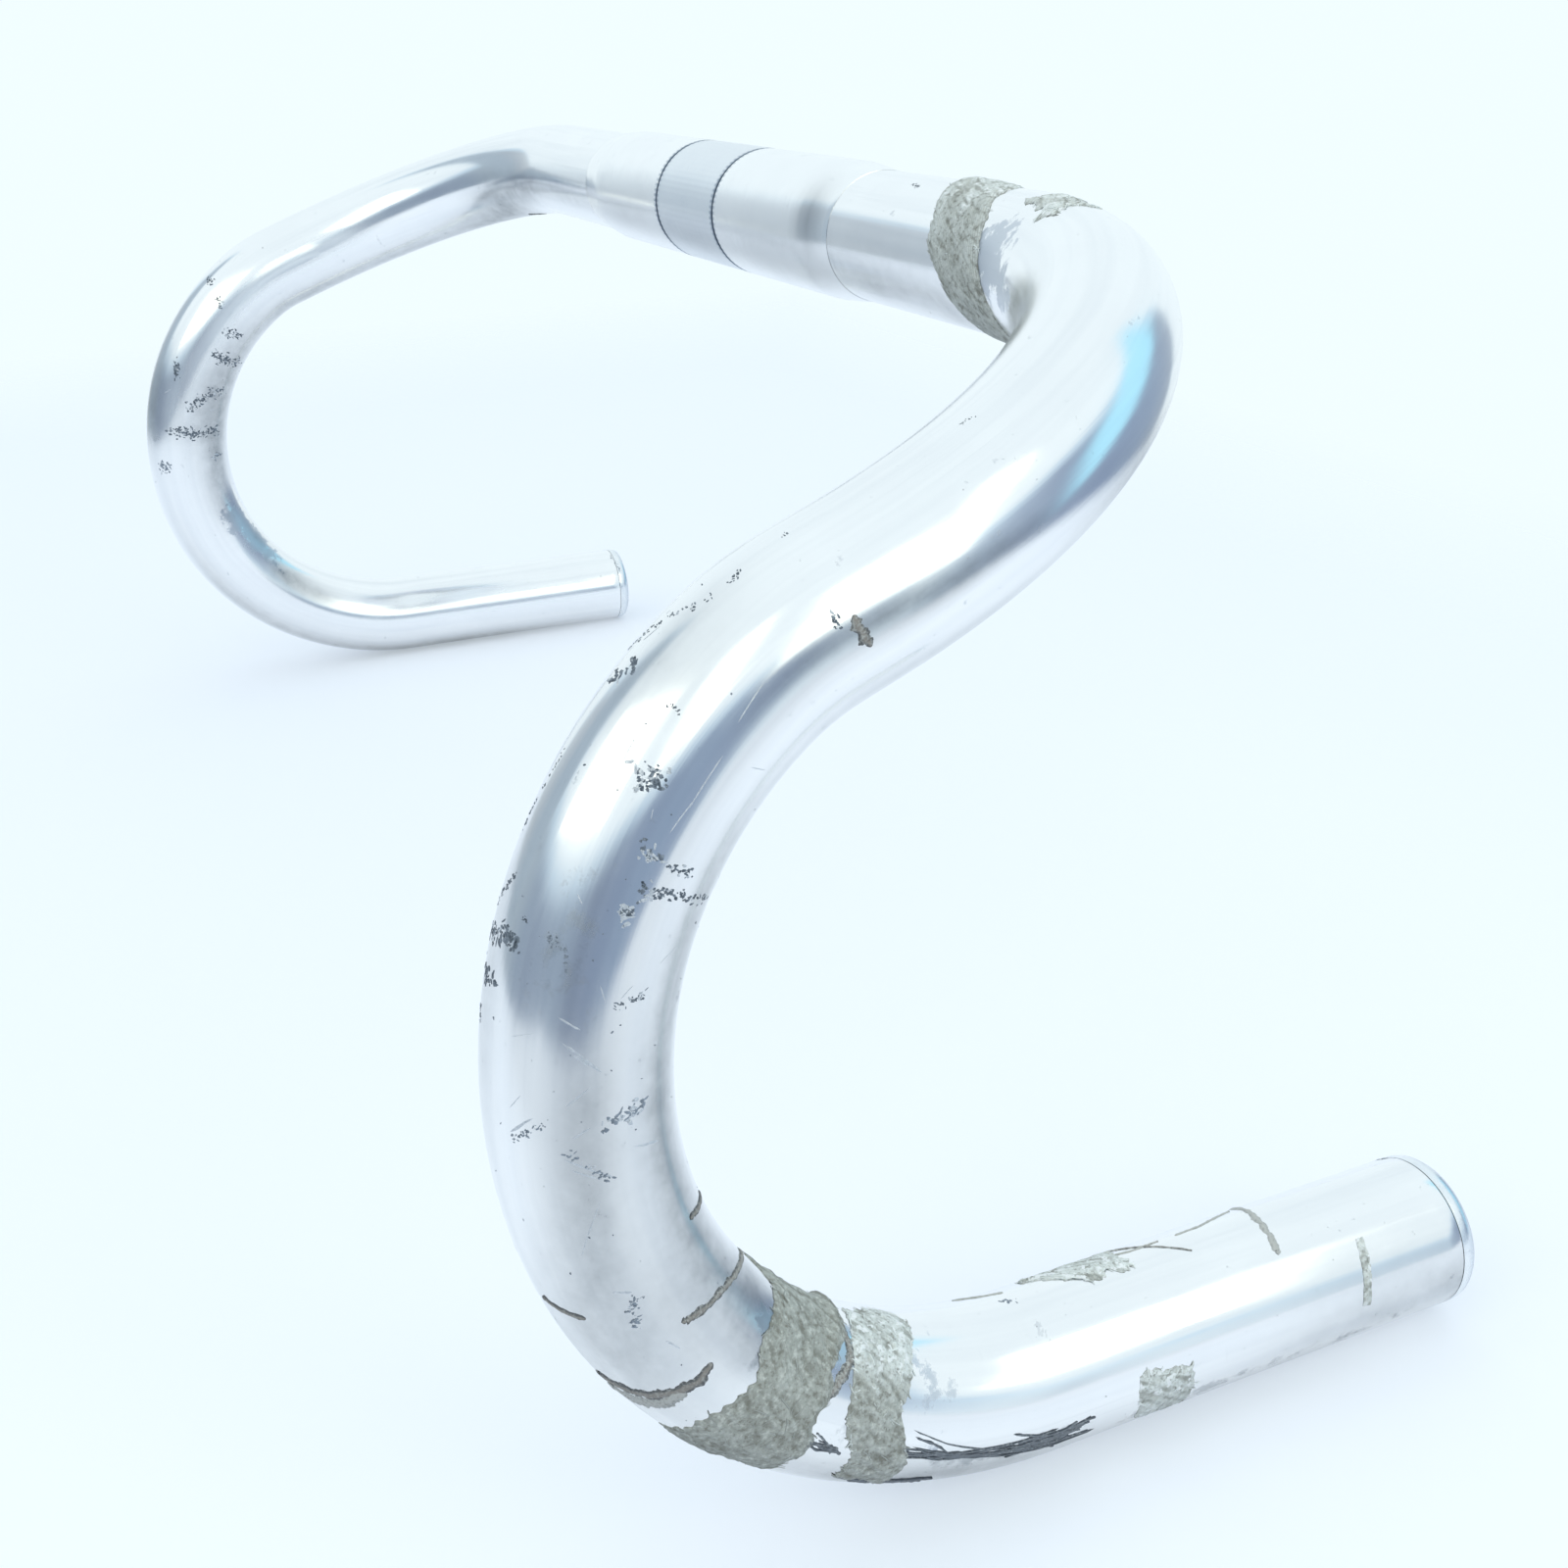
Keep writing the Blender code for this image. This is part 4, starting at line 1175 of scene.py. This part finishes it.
# floor, lamp and surroundings of a plain pale studio
studioSet = {
    "floorFrom": (-0.95, -0.75),
    "floorTo": (0.52, 0.42),
    "melt": 0.30,           # width of the strip where the floor melts into the wall behind it
    "floorColour": (0.66, 0.67, 0.74, 1),
    "floorGlow": 0.30,
    "glowColour": (0.89, 0.985, 1.0, 1),
    "shaded": 0.79,
    "shadeFrom": 0.19,      # metres in front of the camera where the floor starts to darken towards it
    "shadeTo": 0.05,
    # place, the point it faces, width and height in metres, lean about its own axis in degrees
    "lamps": [((0.30, -0.83, 0.48), (0, 0, 0), 0.80, 0.38, 0),
              ((0.537, -0.22, 0.239), (0.197, -0.22, 0.189), 0.125, 0.26, 0),
              ((0.547, 0.101, 0.17), (0.207, 0.101, 0.12), 0.262, 0.28, 0),
              ((0.749, 0.351, 0.413), (0.210, -0.031, -0.127), 0.57, 0.195, 55)],
    "lampLevel": 1.0,
    "lampColour": (1.0, 0.98, 0.76),
    "white": (0.89, 0.995, 1.04, 1),
    "meeting": (0.52, 0.76, 0.95, 1),
    "window": (0.48, 0.90, 1.10, 1),
    # the darker room behind the lamps: azimuth, height it reaches up to, colour
    "room": [(-180, 23, (0.27, 0.35, 0.49)), (-165, 25, (0.31, 0.40, 0.53)), (-154, 20, (0.38, 0.46, 0.56)),
             (-146, -36, (0.45, 0.53, 0.60)), (-82, -36, (0.56, 0.64, 0.70)), (-70, 15, (0.57, 0.65, 0.71)),
             (-61, 23, (0.47, 0.55, 0.62)), (-52, 42, (0.42, 0.52, 0.61)), (-44, 48, (0.42, 0.52, 0.61)),
             (-39, 30, (0.41, 0.51, 0.60)), (-34, 17, (0.40, 0.49, 0.57)),
             (-14, 16, (0.30, 0.38, 0.48)), (0, 14, (0.27, 0.34, 0.44)), (38, 13, (0.29, 0.37, 0.47)),
             (56, 14, (0.22, 0.28, 0.38)), (72, 14, (0.23, 0.30, 0.42)), (96, 13, (0.27, 0.36, 0.49)),
             (107, 8, (0.28, 0.36, 0.49)), (113, 5, (0.36, 0.46, 0.58)), (119, 8, (0.80, 0.93, 1.0)),
             (127, 10, (0.60, 0.74, 0.86)), (136, 11, (0.42, 0.53, 0.66)), (151, 19, (0.31, 0.39, 0.52)),
             (180, 23, (0.27, 0.35, 0.49))],
}


def makeFloor():
    deselect()
    bpy.ops.mesh.primitive_plane_add(size=1)
    floor = bpy.context.object
    (west, south), (east, north) = studioSet["floorFrom"], studioSet["floorTo"]
    floor.scale = (east - west, north - south, 1)
    floor.location = ((east + west) / 2, (north + south) / 2, cadLow.z)
    floor = started("studioFloor")
    material = bpy.data.materials.new("paleFloor")
    material.use_nodes = True
    tree = material.node_tree
    tree.nodes.clear()
    diffuse = addNode(tree, "ShaderNodeBsdfDiffuse")
    axes = addNode(tree, "ShaderNodeSeparateXYZ")
    tree.links.new(objectCoords(tree), axes.inputs["Vector"])
    place = Vector(cameraSet["place"])
    ahead = Vector(cameraSet["aim"]) - place
    ahead.z = 0
    ahead.normalize()
    depth = computed(tree, "ADD", computed(tree, "MULTIPLY", axes.outputs["X"], ahead.x),
                     computed(tree, "MULTIPLY", axes.outputs["Y"], ahead.y))
    near = place.dot(ahead)
    shade = ranged(tree, depth, near + studioSet["shadeTo"], near + studioSet["shadeFrom"], 1.0, 0.0)
    darker = tuple(value * studioSet["shaded"] for value in studioSet["floorColour"][:3]) + (1,)
    tree.links.new(mixed(tree, shade, studioSet["floorColour"], darker), diffuse.inputs["Color"])
    # the floor's own paleness, for the camera and for what the metal shows
    rays = addNode(tree, "ShaderNodeLightPath").outputs
    seen = computed(tree, "MAXIMUM", rays["Is Camera Ray"], rays["Is Glossy Ray"])
    seen = computed(tree, "MAXIMUM", seen, rays["Is Transmission Ray"])
    level = computed(tree, "MULTIPLY", seen, ranged(tree, shade, 0.0, 1.0, 1.0, studioSet["shaded"]))
    glow = addNode(tree, "ShaderNodeEmission")
    glow.inputs["Color"].default_value = studioSet["glowColour"]
    tree.links.new(computed(tree, "MULTIPLY", level, studioSet["floorGlow"]), glow.inputs["Strength"])
    both = addNode(tree, "ShaderNodeAddShader")
    tree.links.new(diffuse.outputs["BSDF"], both.inputs[0])
    tree.links.new(glow.outputs["Emission"], both.inputs[1])
    # its two far edges melt into the wall
    fromNorth = computed(tree, "SUBTRACT", north, axes.outputs["Y"])
    inside = computed(tree, "MINIMUM", computed(tree, "SUBTRACT", axes.outputs["X"], west),
                      computed(tree, "MULTIPLY", fromNorth, 2.0))
    melt = addNode(tree, "ShaderNodeMixShader")
    tree.links.new(ranged(tree, inside, 0.0, studioSet["melt"], 1.0, 0.0), melt.inputs["Fac"])
    tree.links.new(both.outputs["Shader"], melt.inputs[1])
    tree.links.new(addNode(tree, "ShaderNodeBsdfTransparent").outputs["BSDF"], melt.inputs[2])
    output = addNode(tree, "ShaderNodeOutputMaterial")
    tree.links.new(melt.outputs["Shader"], output.inputs["Surface"])
    floor.data.materials.append(material)


def makeLamps():
    for number, (place, aim, width, height, lean) in enumerate(studioSet["lamps"]):
        deselect()
        bpy.ops.object.light_add(type="AREA", location=place)
        lamp = bpy.context.object
        lamp.name = f"wideLamp{number}"
        facing = (Vector(aim) - Vector(place)).to_track_quat("-Z", "Y").to_matrix()
        lamp.rotation_euler = (facing @ Matrix.Rotation(radians(lean), 3, "Z")).to_euler()
        lamp.data.shape = "RECTANGLE"
        lamp.data.size, lamp.data.size_y = width, height
        lamp.data.energy = studioSet["lampLevel"] * pi * width * height
        lamp.data.color = studioSet["lampColour"]
        lamp.visible_camera = False


def makeWorld():
    world = bpy.data.worlds.new("paleStudio")
    bpy.context.scene.world = world
    world.use_nodes = True
    tree = world.node_tree
    tree.nodes.clear()
    way = addNode(tree, "ShaderNodeSeparateXYZ")
    tree.links.new(addNode(tree, "ShaderNodeTexCoord").outputs["Generated"], way.inputs["Vector"])
    x, y, z = (way.outputs[axis] for axis in "XYZ")
    perRadian = 57.29578
    turned = computed(tree, "ARCTAN2", x, computed(tree, "MULTIPLY", y, -1.0))
    azimuth = computed(tree, "MULTIPLY", turned, perRadian)
    height = computed(tree, "MULTIPLY", computed(tree, "ARCSINE", z), perRadian)
    share = ranged(tree, azimuth, -180.0, 180.0, 0.0, 1.0)
    ramps = []
    for kind in ("tops", "colours"):
        ramp = addNode(tree, "ShaderNodeValToRGB")
        stops = ramp.color_ramp.elements
        for number, (degrees, top, colour) in enumerate(studioSet["room"]):
            spot = (degrees + 180) / 360
            stop = stops[number] if number < 2 else stops.new(spot)
            stop.position = spot
            stop.color = (*colour, 1) if kind == "colours" else ((top + 40) / 100,) * 3 + (1,)
        tree.links.new(share, ramp.inputs["Fac"])
        ramps.append(ramp.outputs["Color"])
    top = computed(tree, "SUBTRACT", computed(tree, "MULTIPLY", ramps[0], 100.0), 40.0)
    above = ranged(tree, computed(tree, "SUBTRACT", height, top), -3.0, 5.0, 0.0, 1.0)
    colour = mixed(tree, above, ramps[1], studioSet["white"])
    # the room is bluer where it meets the white
    fromMeeting = computed(tree, "ABSOLUTE", computed(tree, "SUBTRACT", above, 0.5))
    meeting = ranged(tree, fromMeeting, 0.0, 0.5, 0.55, 0.0)
    colour = mixed(tree, meeting, colour, studioSet["meeting"])
    # a blue window low behind the bar
    behind = computed(tree, "MODULO", computed(tree, "ADD", azimuth, 360.0), 360.0)
    fromWindow = computed(tree, "ABSOLUTE", computed(tree, "SUBTRACT", behind, 181.0))
    wide = ranged(tree, fromWindow, 24.0, 15.0, 0.0, 1.0)
    rise = computed(tree, "SUBTRACT", height, ranged(tree, behind, 160.0, 200.0, 0.0, 29.0))
    tall = ranged(tree, computed(tree, "ABSOLUTE", rise), 14.0, 8.0, 0.0, 1.0)
    colour = mixed(tree, computed(tree, "MULTIPLY", wide, tall), colour, studioSet["window"])
    background = addNode(tree, "ShaderNodeBackground")
    tree.links.new(colour, background.inputs["Color"])
    output = addNode(tree, "ShaderNodeOutputWorld")
    tree.links.new(background.outputs["Background"], output.inputs["Surface"])


makeFloor()
makeLamps()
makeWorld()
bpy.context.scene.view_settings.view_transform = "Standard"
print("studio set")
